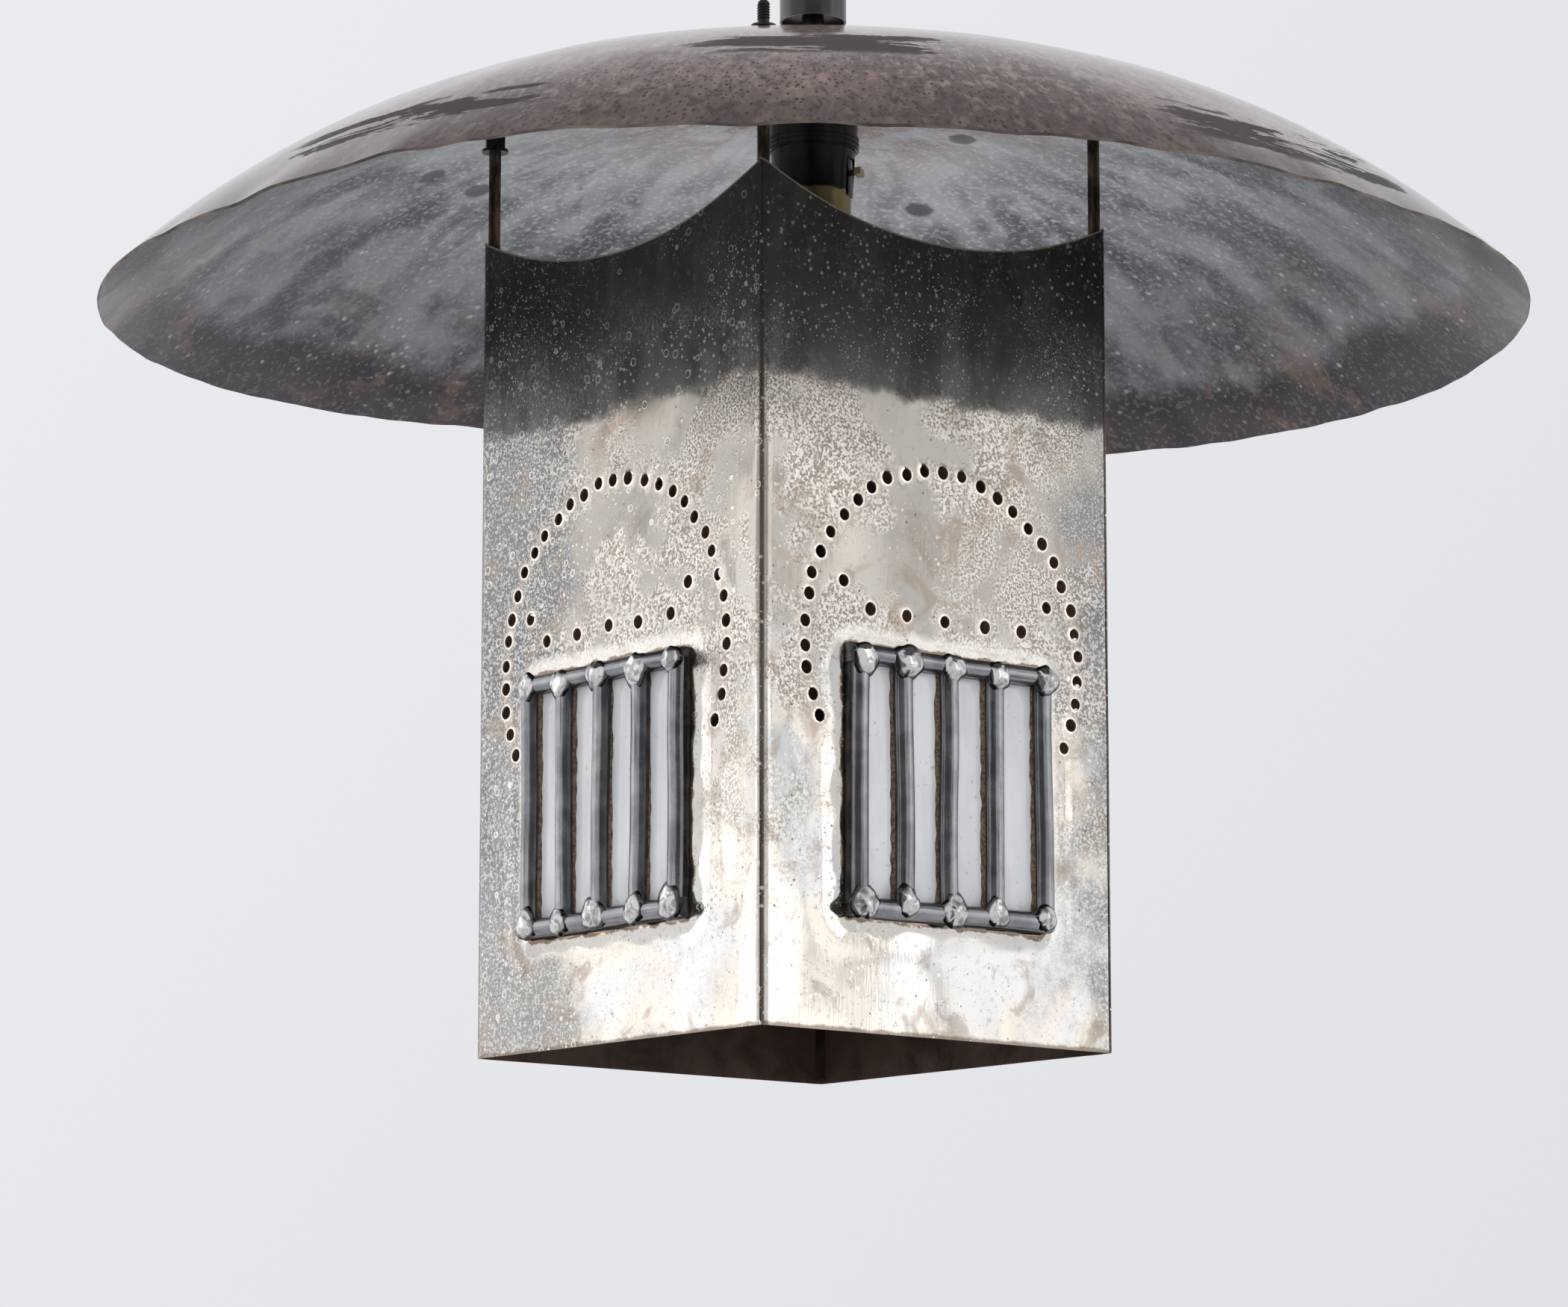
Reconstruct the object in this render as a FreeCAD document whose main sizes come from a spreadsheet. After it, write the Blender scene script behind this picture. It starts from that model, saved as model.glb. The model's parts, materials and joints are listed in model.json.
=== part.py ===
import FreeCAD, Part
import math
import os
import re
import Sketcher
from FreeCAD import Placement, Rotation, Vector

# A hanging lantern lamp of tinned copper sheet. A square body with leaded windows hangs on four corner rods under a
# wide domed shade, and a lamp socket sits on a threaded pipe that carries everything from one loop.
# Millimetres. +Z is up, the origin is the centre of the eye of the loop, and the body's faces look along X and Y.

SIZES = [
    # name, value, meaning
    ("eye_radius", 8.5, "hole of the loop"),
    ("eye_rim", 5.0, "metal around the hole of the loop"),
    ("eye_width", 7.0, "loop along its hole"),
    ("eye_chamfer", 0.8, "edges of the loop"),
    ("neck_radius", 7.0, "collar under the loop"),
    ("neck_length", 9.0, "collar under the loop"),
    ("neck_sink", 3.0, "depth of the loop in its collar"),
    ("pipe_radius", 4.76, "threaded pipe"),
    ("pipe_bore", 3.3, "wire way of the pipe, radius"),
    ("wire_radius", 2.4, "wire way of the loop"),
    ("pipe_grip", 7.0, "thread held in the loop and in the socket"),
    ("thread_play", 0.05, "radial clearance on the pipe"),
    ("stem_radius", 14.4, "black tube above the shade"),
    ("stem_wall", 0.9, "black tube above the shade"),
    ("stem_length", 60.0, "black tube above the shade"),
    ("stem_gap", 30.6, "from the lower end of the tube to the top of the shade"),
    ("stem_cap_rise", 4.0, "crown of the tube's cap"),
    ("stem_cap_edge", 1.2, "edge of the tube's cap"),
    ("stem_cap_lap", 0.8, "overhang of the cap over the tube"),
    ("stem_ring_height", 3.0, "brass ring inside the tube"),
    ("stem_ring_inset", 2.2, "from the tube's lower end to the ring"),
    ("nut_flats", 14.0, "locknuts of the pipe"),
    ("nut_height", 3.2, "locknuts of the pipe"),
    ("washer_radius", 12.5, "washers of the pipe"),
    ("washer_height", 1.2, "washers of the pipe"),
    ("shade_radius", 305.0, "rim of the shade"),
    ("shade_rise", 101.5, "top of the shade above its rim"),
    ("shade_power", 2.79, "how flat the shade's top is: its drop goes with this power of the radius"),
    ("shade_thickness", 1.3, "sheet of the shade, measured upright"),
    ("body_drop", 63.9, "from the shade's top to the body's corner points"),
    ("body_side", 190.0, "outside of the square body"),
    ("body_height", 353.5, "body up to its corner points"),
    ("body_shift_x", -6.8, "the body hangs a little off the pipe"),
    ("body_shift_y", 5.6, "the body hangs a little off the pipe"),
    ("sheet_thickness", 0.8, "sheet of the body"),
    ("scallop_depth", 22.0, "hollow of a panel's top edge"),
    ("punch_radius", 2.7, "punched holes"),
    ("arch_radius", 74.5, "circle of the arch of holes"),
    ("arch_height", 160.0, "centre of that circle above the body's bottom"),
    ("arch_start", -27.0, "angle of the first hole, degrees"),
    ("arch_step", 7.8, "angle from hole to hole, degrees"),
    ("row_height", 172.8, "row of holes above the window"),
    ("row_pitch", 20.8, "row of holes above the window"),
    ("row_end_reach", 54.3, "raised end holes, from the middle"),
    ("row_end_height", 184.0, "raised end holes above the body's bottom"),
    ("window_width", 104.0, "leaded window, outside"),
    ("window_height", 110.6, "leaded window, outside"),
    ("window_level", 102.0, "middle of the window above the body's bottom"),
    ("opening_play", 1.7, "from the came's heart to the edge of the sheet"),
    ("lip_width", 5.0, "raised edge around the opening"),
    ("lip_height", 0.8, "raised edge around the opening"),
    ("bar_width", 9.0, "upright cames"),
    ("rail_width", 8.0, "top and bottom cames"),
    ("bar_crown", 4.1, "rise of a bar's round front"),
    ("rail_crown", 3.6, "rise of a rail's round front"),
    ("came_front", 5.4, "front of a came, from the glass out"),
    ("came_back", 1.7, "flat back of a came"),
    ("came_heart", 2.0, "web of a came, between the panes"),
    ("came_play", 0.15, "clearance of the glass and the sheet in a came"),
    ("glass_thickness", 3.2, "panes"),
    ("blob_width", 6.6, "solder joint, half size along the rail"),
    ("blob_height", 7.4, "solder joint, half size along the bar"),
    ("blob_proud", 1.0, "solder joint, in front of the cames"),
    ("cement_width", 1.5, "cement beside a bar"),
    ("cement_depth", 0.8, "cement beside a bar"),
    ("rod_radius", 2.6, "corner rods"),
    ("rod_play", 0.05, "from a rod to the panels that it is soldered to"),
    ("rod_lap", 70.0, "length of a rod inside the body"),
    ("stud_radius", 2.4, "threaded top of a rod"),
    ("stud_play", 0.25, "radial clearance of the studs in their holes"),
    ("stud_rise", 11.5, "stud above the shade"),
    ("stud_chamfer", 1.0, "tip of a stud"),
    ("standoff_flats", 8.0, "hexagonal spacers under the shade"),
    ("standoff_height", 9.4, "hexagonal spacers under the shade"),
    ("plate_radius", 5.7, "plate washers under the spacers"),
    ("plate_height", 1.3, "plate washers under the spacers"),
    ("retainer_radius", 5.15, "dished retainers on the studs"),
    ("retainer_rise", 1.2, "dished retainers on the studs"),
    ("retainer_wall", 0.9, "dished retainers on the studs"),
    ("seat_gap", 0.05, "upright clearance where a flat piece meets the sloping shade"),
    ("seam_leg", 3.0, "legs of the solder in a corner"),
    ("seam_inset", 2.0, "from the body's bottom to the solder"),
    ("socket_seat", 0.2, "from the lower locknut to the socket"),
    ("cap_radius", 19.3, "socket cap"),
    ("cap_wall", 0.9, "socket cap"),
    ("cap_height", 21.4, "socket cap"),
    ("cap_crown", 9.0, "crown of the socket cap above its skirt"),
    ("cap_hub_radius", 9.0, "hub of the socket cap"),
    ("cap_hub_height", 3.0, "hub of the socket cap"),
    ("rib_rise", 0.6, "ribs of the socket cap"),
    ("rib_height", 1.1, "ribs of the socket cap"),
    ("rib_pitch", 2.1, "ribs of the socket cap"),
    ("shell_radius", 18.2, "black shell, in the cap"),
    ("shell_foot_radius", 17.3, "black shell, lower edge"),
    ("shell_wall", 0.7, "black shell"),
    ("shell_tuck", 6.0, "black shell inside the cap"),
    ("shell_height", 18.6, "black shell below the cap"),
    ("sleeve_radius", 16.3, "brass sleeve"),
    ("sleeve_wall", 0.5, "brass sleeve"),
    ("sleeve_tuck", 14.0, "brass sleeve inside the shell"),
    ("sleeve_length", 17.4, "brass sleeve below the shell"),
    ("sleeve_bead", 0.5, "rolled lower edge of the sleeve"),
    ("liner_play", 0.1, "between sleeve and liner"),
    ("liner_wall", 0.7, "paper liner"),
    ("liner_inset", 0.8, "liner above the sleeve's lower edge"),
    ("screw_radius", 13.25, "hole for the bulb's cap"),
    ("screw_wall", 0.35, "screw shell"),
    ("screw_inset", 1.0, "screw shell above the sleeve's lower edge"),
    ("screw_length", 21.0, "screw shell"),
    ("screw_shoulder", 3.4, "cone at the top of the screw shell"),
    ("block_radius", 14.7, "insulating block of the switch"),
    ("block_height", 21.0, "insulating block of the switch"),
    ("contact_radius", 3.4, "centre contact"),
    ("contact_height", 2.8, "centre contact"),
    ("key_level", 10.0, "key below the cap's lower edge"),
    ("key_angle", -54.0, "direction of the key about the pipe's axis, degrees"),
    ("key_radius", 1.25, "shaft of the key"),
    ("key_play", 0.05, "radial clearance of the key's shaft"),
    ("cam_radius", 3.2, "cam on the key's shaft"),
    ("cam_start", 4.0, "cam from the socket's axis"),
    ("cam_length", 5.0, "cam on the key's shaft"),
    ("cam_play", 0.3, "clearance of the cam in its pocket"),
    ("key_head_width", 7.0, "thumb piece"),
    ("key_head_height", 3.0, "thumb piece"),
    ("key_head_length", 2.9, "thumb piece"),
    ("key_head_gap", 0.7, "from the shell to the thumb piece"),
    ("slot_width", 13.0, "slot of the shell and the sleeve for the key"),
    ("slot_rise", 6.0, "slot above the key's axis"),
    ("tongue_width", 8.0, "insulating tongue in the slot"),
    ("tongue_wall", 0.6, "insulating tongue in the slot"),
    ("tongue_drop", 1.8, "tongue below the shell"),
    ("cut_overrun", 1.0, "how far a cut runs past the metal"),
]

# Counts and shares
ARCH_HOLES = 31
ROW_HOLES = 5
BARS = 5
RIBS = 3
SHADE_POINTS = 13
NUT_SIDES = 6
FULL_TURN = 360
FACES = ["front", "right", "back", "left"]

doc = FreeCAD.newDocument("lantern_lamp")
sheet = doc.addObject("Spreadsheet::Sheet", "sizes")
for row, (alias, amount, meaning) in enumerate(SIZES, start=1):
    sheet.set("A%d" % row, str(amount))
    sheet.setAlias("A%d" % row, alias)
    sheet.set("B%d" % row, meaning)
doc.recompute()

nodes = []


# Values and expressions


def cells(text):
    """A sum in the names of the sheet, with each name made a reference to its cell."""
    return re.sub(r"\b([a-z]+(?:_[a-z]+)+)\b", r"sizes.\1", text)


def value(text):
    """What such a sum comes to."""
    return float(sheet.evalExpression(cells(text)))


def bind(thing, **sums):
    """Ties properties to the sheet."""
    for name, text in sums.items():
        thing.setExpression(name, cells(text))


def place(thing, x="0", y="0", z="0", turn=0.0):
    """Puts a piece at a place of the sheet, turned about Z by degrees."""
    thing.Placement = Placement(Vector(value(x), value(y), value(z)), Rotation(Vector(0, 0, 1), turn))
    for axis, text in zip("xyz", (x, y, z)):
        if text != "0":
            thing.setExpression("Placement.Base." + axis, cells(text))
    return thing


def keep(thing, name):
    """Makes a piece a sub-part under its own name."""
    thing.Label = name
    nodes.append(thing)
    return thing


# Levels, as sums in the names of the sheet

LOOP_BASE = "-(eye_radius + eye_rim + neck_length - neck_sink)"
TUBE_TOP = LOOP_BASE + " - stem_cap_edge - stem_cap_rise"
TUBE_END = TUBE_TOP + " - stem_length"
APEX = TUBE_END + " - stem_gap"
BODY_TOP = APEX + " - body_drop"
BODY_END = BODY_TOP + " - body_height"
CAP_TOP = APEX + " - shade_thickness - washer_height - nut_height - socket_seat"
CAP_END = CAP_TOP + " - cap_height"
SHELL_END = CAP_END + " - shell_height"
SLEEVE_END = SHELL_END + " - sleeve_length"
SCREW_END = SLEEVE_END + " + screw_inset"
SCREW_TOP = SCREW_END + " + screw_length"
KEY_AXIS = CAP_END + " - key_level"

# Places in a panel's own frame: x along the face, z up from the body's bottom, and out of the face

OUTER_FACE = "body_side / 2"
INNER_FACE = "(body_side / 2 - sheet_thickness)"
GROOVE_BACK = "(-sheet_thickness - came_play)"
GROOVE_FRONT = "(-sheet_thickness - came_play + glass_thickness + 2 * came_play)"
BAR_PITCH = "((window_width - bar_width) / %d)" % (BARS - 1)
FIRST_BAR = "-%d * %s" % (BARS // 2, BAR_PITCH)
OPENING_HALF_WIDTH = "((window_width - bar_width + came_heart) / 2 + opening_play)"
OPENING_HALF_HEIGHT = "((window_height - rail_width + came_heart) / 2 + opening_play)"
ROD_REACH = "(body_side / 2 - sheet_thickness - rod_radius - rod_play)"


# Sketches and features


def sketch_on(body, role, shift=("0", "0", "0")):
    """A sketch on one of a body's own origin planes, moved in that plane and along its normal."""
    plane = next(item for item in body.Origin.OriginFeatures if item.Role == role)
    sketch = body.newObject("Sketcher::SketchObject", body.Name + "_sketch")
    sketch.AttachmentSupport = (plane, [""])
    sketch.MapMode = "FlatFace"
    for axis, text in zip("xyz", shift):
        if text != "0":
            sketch.setExpression("AttachmentOffset.Base." + axis, cells(text))
    return sketch


def pin(sketch, edge, end, x, y):
    """Holds a point of an edge at a place of the sheet."""
    for kind, text in (("DistanceX", x), ("DistanceY", y)):
        number = sketch.addConstraint(Sketcher.Constraint(kind, -1, 1, edge, end, value(text)))
        sketch.setExpression("Constraints[%d]" % number, cells(text))


def draw_circle(sketch, x, y, radius):
    centre = Vector(value(x), value(y), 0)
    edge = sketch.addGeometry(Part.Circle(centre, Vector(0, 0, 1), value(radius)), False)
    pin(sketch, edge, 3, x, y)
    number = sketch.addConstraint(Sketcher.Constraint("Radius", edge, value(radius)))
    sketch.setExpression("Constraints[%d]" % number, cells(radius))


def arc_between(start, end, radius):
    """An arc from start to end that bulges to the right of that way, at most a half circle."""
    chord = end - start
    half = chord.Length / 2
    sagitta = radius - math.sqrt(max(radius ** 2 - half ** 2, 0))
    right = Vector(chord.y, -chord.x, 0)
    right.normalize()
    return Part.Arc(start, start + chord / 2 + right * sagitta, end)


def draw_outline(sketch, corners):
    """A closed outline. A corner is (x, y), or (x, y, radius) where the edge that leaves it is an arc that bulges
    to the right of its way."""
    places = [Vector(value(corner[0]), value(corner[1]), 0) for corner in corners]
    edges = []
    for number, corner in enumerate(corners):
        start = places[number]
        end = places[(number + 1) % len(corners)]
        if len(corner) == 2:
            edges.append(sketch.addGeometry(Part.LineSegment(start, end), False))
        else:
            edges.append(sketch.addGeometry(arc_between(start, end, value(corner[2])), False))
    for number, corner in enumerate(corners):
        following = edges[(number + 1) % len(corners)]
        sketch.addConstraint(Sketcher.Constraint("Coincident", edges[number], 2, following, 1))
    for edge, corner in zip(edges, corners):
        pin(sketch, edge, 1, corner[0], corner[1])
        if len(corner) == 3:
            number = sketch.addConstraint(Sketcher.Constraint("Radius", edge, value(corner[2])))
            sketch.setExpression("Constraints[%d]" % number, cells(corner[2]))


def draw_rectangle(sketch, low_x, low_y, high_x, high_y):
    draw_outline(sketch, [(low_x, low_y), (high_x, low_y), (high_x, high_y), (low_x, high_y)])


def new_body(name):
    return doc.addObject("PartDesign::Body", name)


def pad(body, sketch, length, reverse=False):
    feature = body.newObject("PartDesign::Pad", body.Name + "_pad")
    feature.Profile = sketch
    feature.Reversed = reverse
    bind(feature, Length=length)
    return feature


def pocket(body, sketch, length, reverse=False):
    feature = body.newObject("PartDesign::Pocket", body.Name + "_pocket")
    feature.Profile = sketch
    feature.Reversed = reverse
    bind(feature, Length=length)
    return feature


def turned(name, corners):
    """A body turned about Z from an outline given as (radius, height) corners."""
    body = new_body(name)
    sketch = sketch_on(body, "XZ_Plane")
    draw_outline(sketch, corners)
    feature = body.newObject("PartDesign::Revolution", name + "_turn")
    feature.Profile = sketch
    feature.ReferenceAxis = (sketch, ["V_Axis"])
    feature.Angle = FULL_TURN
    return body


def ring(name, outer, inner, low, high):
    """A plain turned ring between two levels."""
    return turned(name, [(inner, low), (outer, low), (outer, high), (inner, high)])


def cylinder(name, radius, height):
    thing = doc.addObject("Part::Cylinder", name)
    bind(thing, Radius=radius, Height=height)
    return thing


def box(name, length, width, height):
    thing = doc.addObject("Part::Box", name)
    bind(thing, Length=length, Width=width, Height=height)
    return thing


def cut(name, base, tool):
    thing = doc.addObject("Part::Cut", name)
    thing.Base = base
    thing.Tool = tool
    return thing


def group(name, pieces):
    """Several like pieces as one sub-part."""
    thing = doc.addObject("Part::Compound", name)
    thing.Links = pieces
    return thing


def hexagon(name, flats, height, hole):
    """A hexagonal nut or spacer, standing on z = 0."""
    block = doc.addObject("Part::Prism", name + "_block")
    block.Polygon = NUT_SIDES
    bind(block, Circumradius=flats + " / sqrt(3)", Height=height)
    drill = cylinder(name + "_hole", hole, height)
    return cut(name, block, drill)


# The shade


def shade_drop(radius):
    """How far the shade's outside is below its top at a radius, as a sum."""
    return "(shade_rise * ((%s) / shade_radius)^shade_power)" % radius


def rod_places():
    """The four rods about the pipe's axis, from the front left corner round."""
    for side_x, side_y in ((-1, -1), (1, -1), (1, 1), (-1, 1)):
        x = "(body_shift_x + %d * %s)" % (side_x, ROD_REACH)
        y = "(body_shift_y + %d * %s)" % (side_y, ROD_REACH)
        yield x, y, "sqrt(%s^2 + %s^2)" % (x, y)


def make_shade():
    """A sheet dome whose wall is one formula curve, turned about the pipe, with its holes drilled upright."""
    hole = value("pipe_radius + thread_play")
    rim = value("shade_radius")
    top = value(APEX)
    thickness = value("shade_thickness")
    points = []
    for number in range(SHADE_POINTS):
        radius = hole + (rim - hole) * number / (SHADE_POINTS - 1)
        points.append(Vector(radius, 0, top - value(shade_drop("%.6f" % radius))))
    outside = Part.BSplineCurve()
    outside.interpolate(points)
    inside = outside.copy()
    inside.translate(Vector(0, 0, -thickness))
    down = Vector(0, 0, -thickness)
    edges = [
        outside.toShape(),
        Part.makeLine(points[-1], points[-1] + down),
        inside.toShape(),
        Part.makeLine(points[0] + down, points[0]),
    ]
    wall = Part.Face(Part.Wire(Part.sortEdges(edges)[0]))
    shape = wall.revolve(Vector(0, 0, 0), Vector(0, 0, 1), FULL_TURN)
    shape = Part.makeSolid(shape) if shape.ShapeType != "Solid" else shape
    depth = value("shade_rise")
    for x, y, radius in rod_places():
        foot = Vector(value(x), value(y), top - depth)
        shape = shape.cut(Part.makeCylinder(value("stud_radius + stud_play"), 2 * depth, foot))
    dome = doc.addObject("Part::Feature", "shade_dome")
    dome.Shape = shape.removeSplitter()
    keep(dome, "shade_dome")


# The body


def make_panel():
    """One sheet of the body. Its left end covers the corner and its right end butts on the next panel."""
    body = new_body("panel")
    sketch = sketch_on(body, "XZ_Plane", ("0", "0", INNER_FACE))
    scallop = "(((body_side - sheet_thickness)^2 / 4 + scallop_depth^2) / (2 * scallop_depth))"
    draw_outline(
        sketch,
        [
            ("-" + OUTER_FACE, "0"),
            (INNER_FACE, "0"),
            (INNER_FACE, "body_height"),
            ("-" + OUTER_FACE, "body_height"),
        ],
    )
    pad(body, sketch, "sheet_thickness")
    lip = sketch_on(body, "XZ_Plane", ("0", "0", OUTER_FACE))
    reach = OPENING_HALF_WIDTH + " + lip_width"
    rise = OPENING_HALF_HEIGHT + " + lip_width"
    draw_rectangle(lip, "-(%s)" % reach, "window_level - (%s)" % rise, reach, "window_level + (%s)" % rise)
    pad(body, lip, "lip_height")
    opening = sketch_on(body, "XZ_Plane", ("0", "0", "%s - cut_overrun" % INNER_FACE))
    draw_rectangle(
        opening,
        "-" + OPENING_HALF_WIDTH,
        "window_level - " + OPENING_HALF_HEIGHT,
        OPENING_HALF_WIDTH,
        "window_level + " + OPENING_HALF_HEIGHT,
    )
    pocket(body, opening, "sheet_thickness + lip_height + 2 * cut_overrun", reverse=True)
    top = sketch_on(body, "XZ_Plane", ("0", "0", "%s - cut_overrun" % INNER_FACE))
    middle = "-sheet_thickness / 2"
    draw_circle(top, middle, "body_height - scallop_depth + " + scallop, scallop)
    pocket(body, top, "sheet_thickness + 2 * cut_overrun", reverse=True)
    row = sketch_on(body, "XZ_Plane", ("0", "0", "%s - cut_overrun" % INNER_FACE))
    for number in range(ROW_HOLES):
        draw_circle(row, "%d * row_pitch" % (number - ROW_HOLES // 2), "row_height", "punch_radius")
    for side in ("-", ""):
        draw_circle(row, side + "row_end_reach", "row_end_height", "punch_radius")
    pocket(body, row, "sheet_thickness + 2 * cut_overrun", reverse=True)
    first = sketch_on(body, "XZ_Plane", ("0", "arch_height", "%s - cut_overrun" % INNER_FACE))
    reach = "arch_radius * cos(arch_start * 1deg)"
    rise = "arch_radius * sin(arch_start * 1deg)"
    draw_circle(first, reach, rise, "punch_radius")
    punch = pocket(body, first, "sheet_thickness + 2 * cut_overrun", reverse=True)
    arch = body.newObject("PartDesign::PolarPattern", body.Name + "_arch")
    arch.Originals = [punch]
    arch.Axis = (first, ["N_Axis"])
    arch.Occurrences = ARCH_HOLES
    bind(arch, Angle="arch_step * %d" % (ARCH_HOLES - 1))
    body.Tip = arch
    return body


def make_seam():
    """The solder in a corner of the body, below the rod."""
    body = new_body("seam")
    sketch = sketch_on(body, "XY_Plane", ("0", "0", "seam_inset"))
    inner = "-" + INNER_FACE
    draw_outline(
        sketch,
        [
            (inner, inner),
            (inner + " + seam_leg", inner),
            (inner, inner + " + seam_leg"),
        ],
    )
    pad(body, sketch, "body_height - rod_lap - 2 * seam_inset")
    return body


# The windows


def came_outline(width, crown):
    """The section of a came as (across, out) corners: a round front, a heart and a flat back."""
    half = "(%s / 2)" % width
    shoulder = "(%s + came_front - %s)" % (GROOVE_FRONT, crown)
    round_front = "((%s^2 + %s^2) / (2 * %s))" % (half, crown, crown)
    back = "(%s - came_back)" % GROOVE_BACK
    return [
        (half, shoulder, round_front),
        ("(-%s)" % half, shoulder),
        ("(-%s)" % half, GROOVE_FRONT),
        ("(-came_heart / 2)", GROOVE_FRONT),
        ("(-came_heart / 2)", GROOVE_BACK),
        ("(-%s)" % half, GROOVE_BACK),
        ("(-%s)" % half, back),
        (half, back),
        (half, GROOVE_BACK),
        ("(came_heart / 2)", GROOVE_BACK),
        ("(came_heart / 2)", GROOVE_FRONT),
        (half, GROOVE_FRONT),
    ]


def face_out(out):
    """A distance out of a face as a place along Y, before the face is turned to its side."""
    return "-(%s + %s)" % (OUTER_FACE, out)


def make_bars():
    body = new_body("came_bars")
    foot = "window_level - window_height / 2 + rail_width"
    sketch = sketch_on(body, "XY_Plane", (FIRST_BAR, "0", foot))
    corners = came_outline("bar_width", "bar_crown")
    draw_outline(sketch, [("-" + corner[0], face_out(corner[1])) + corner[2:] for corner in corners])
    bar = pad(body, sketch, "window_height - 2 * rail_width")
    bars = body.newObject("PartDesign::LinearPattern", body.Name + "_row")
    bars.Originals = [bar]
    bars.Direction = (sketch, ["H_Axis"])
    bars.Occurrences = BARS
    bind(bars, Length="%d * %s" % (BARS - 1, BAR_PITCH))
    body.Tip = bars
    return body


def make_rail(side):
    """The top rail for side 1, the bottom rail for side -1. Its heart is notched at the ends, where the sheet is."""
    body = new_body("top_rail" if side > 0 else "bottom_rail")
    level = "(window_level + %d * (window_height - rail_width) / 2)" % side
    sketch = sketch_on(body, "YZ_Plane", ("0", "0", "-window_width / 2"))
    corners = came_outline("rail_width", "rail_crown")
    turned_corners = [(face_out(corner[1]), "%s + %s" % (level, corner[0])) + corner[2:] for corner in corners]
    draw_outline(sketch, turned_corners)
    pad(body, sketch, "window_width")
    for end in (-1, 1):
        notch = sketch_on(body, "YZ_Plane", ("0", "0", "%d * (window_width / 2 + cut_overrun)" % end))
        draw_rectangle(
            notch,
            face_out(GROOVE_FRONT),
            level + " - came_heart / 2",
            face_out(GROOVE_BACK),
            level + " + came_heart / 2",
        )
        pocket(body, notch, "(bar_width - came_heart) / 2 + cut_overrun", reverse=end < 0)
    return body


def make_glass():
    panes = []
    low = "window_level - (window_height - rail_width - came_heart) / 2 + came_play"
    for number in range(BARS - 1):
        pane = box(
            "pane_%d" % (number + 1),
            BAR_PITCH + " - came_heart - 2 * came_play",
            "glass_thickness",
            "window_height - rail_width - came_heart - 2 * came_play",
        )
        left = "%d * %s + came_heart / 2 + came_play" % (number - BARS // 2, BAR_PITCH)
        place(pane, left, face_out(GROOVE_FRONT + " - came_play"), low)
        panes.append(pane)
    return group("panes", panes)


def make_cement():
    """A fillet of cement on each long edge of each pane, between the solder joints."""
    body = new_body("cement")
    low = "window_level - window_height / 2 + rail_width + blob_height + came_play"
    sketch = sketch_on(body, "XY_Plane", (FIRST_BAR, "0", low))
    floor = face_out(GROOVE_FRONT + " - came_play")
    crest = face_out(GROOVE_FRONT + " + cement_depth")
    edge = "bar_width / 2"
    far = BAR_PITCH + " - bar_width / 2"
    draw_outline(sketch, [(edge, floor), (edge, crest), (edge + " + cement_width", floor)])
    draw_outline(sketch, [(far, floor), (far + " - cement_width", floor), (far, crest)])
    strip = pad(body, sketch, "window_height - 2 * (rail_width + blob_height + came_play)")
    strips = body.newObject("PartDesign::LinearPattern", body.Name + "_row")
    strips.Originals = [strip]
    strips.Direction = (sketch, ["H_Axis"])
    strips.Occurrences = BARS - 1
    bind(strips, Length="%d * %s" % (BARS - 2, BAR_PITCH))
    body.Tip = strips
    return body


def make_joints(cames):
    """Solder over each end of each bar, shaped to the cames that it lies on."""
    blobs = []
    depth = "((came_front + blob_proud - came_play) / 2)"
    for side in (-1, 1):
        for number in range(BARS):
            blob = doc.addObject("Part::Ellipsoid", "blob")
            blob.Angle1 = -FULL_TURN / 4
            blob.Angle2 = FULL_TURN / 4
            bind(blob, Radius1="blob_height", Radius2="blob_width", Radius3=depth)
            across = "%d * %s" % (number - BARS // 2, BAR_PITCH)
            out = face_out("%s + came_play + %s" % (GROOVE_FRONT, depth))
            level = "window_level + %d * (window_height / 2 - rail_width)" % side
            place(blob, across, out, level)
            blobs.append(blob)
    joints = group("rough_joints", blobs)
    for came in cames:
        joints = cut("joints_on_" + came.Name, joints, came)
    return joints


def make_faces():
    """Makes a panel, a corner seam and a window once, and sets them on the four sides of the body."""
    bars = make_bars()
    top = make_rail(1)
    bottom = make_rail(-1)
    masters = {
        "body_panel": make_panel(),
        "corner_solder": make_seam(),
        "came_bars": bars,
        "came_top_rail": top,
        "came_bottom_rail": bottom,
        "glass_strips": make_glass(),
        "glazing_cement": make_cement(),
        "solder_joints": make_joints([bars, top, bottom]),
    }
    for index, face in enumerate(FACES):
        for label, master in masters.items():
            name = "%s_%s" % (label, face)
            piece = group(name, [master])
            place(piece, "body_shift_x", "body_shift_y", BODY_END, index * FULL_TURN / len(FACES))
            keep(piece, name)


# The corner rods and what holds them in the shade


def seat_under(radius, spread):
    """The highest level of a flat piece that reaches spread about a rod, under the shade."""
    return "(%s - shade_thickness - %s - seat_gap)" % (APEX, shade_drop("%s + %s" % (radius, spread)))


def seat_over(radius, spread):
    """The lowest level of a flat piece that reaches spread about a rod, on the shade."""
    return "(%s - %s + seat_gap)" % (APEX, shade_drop("%s - %s" % (radius, spread)))


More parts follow.
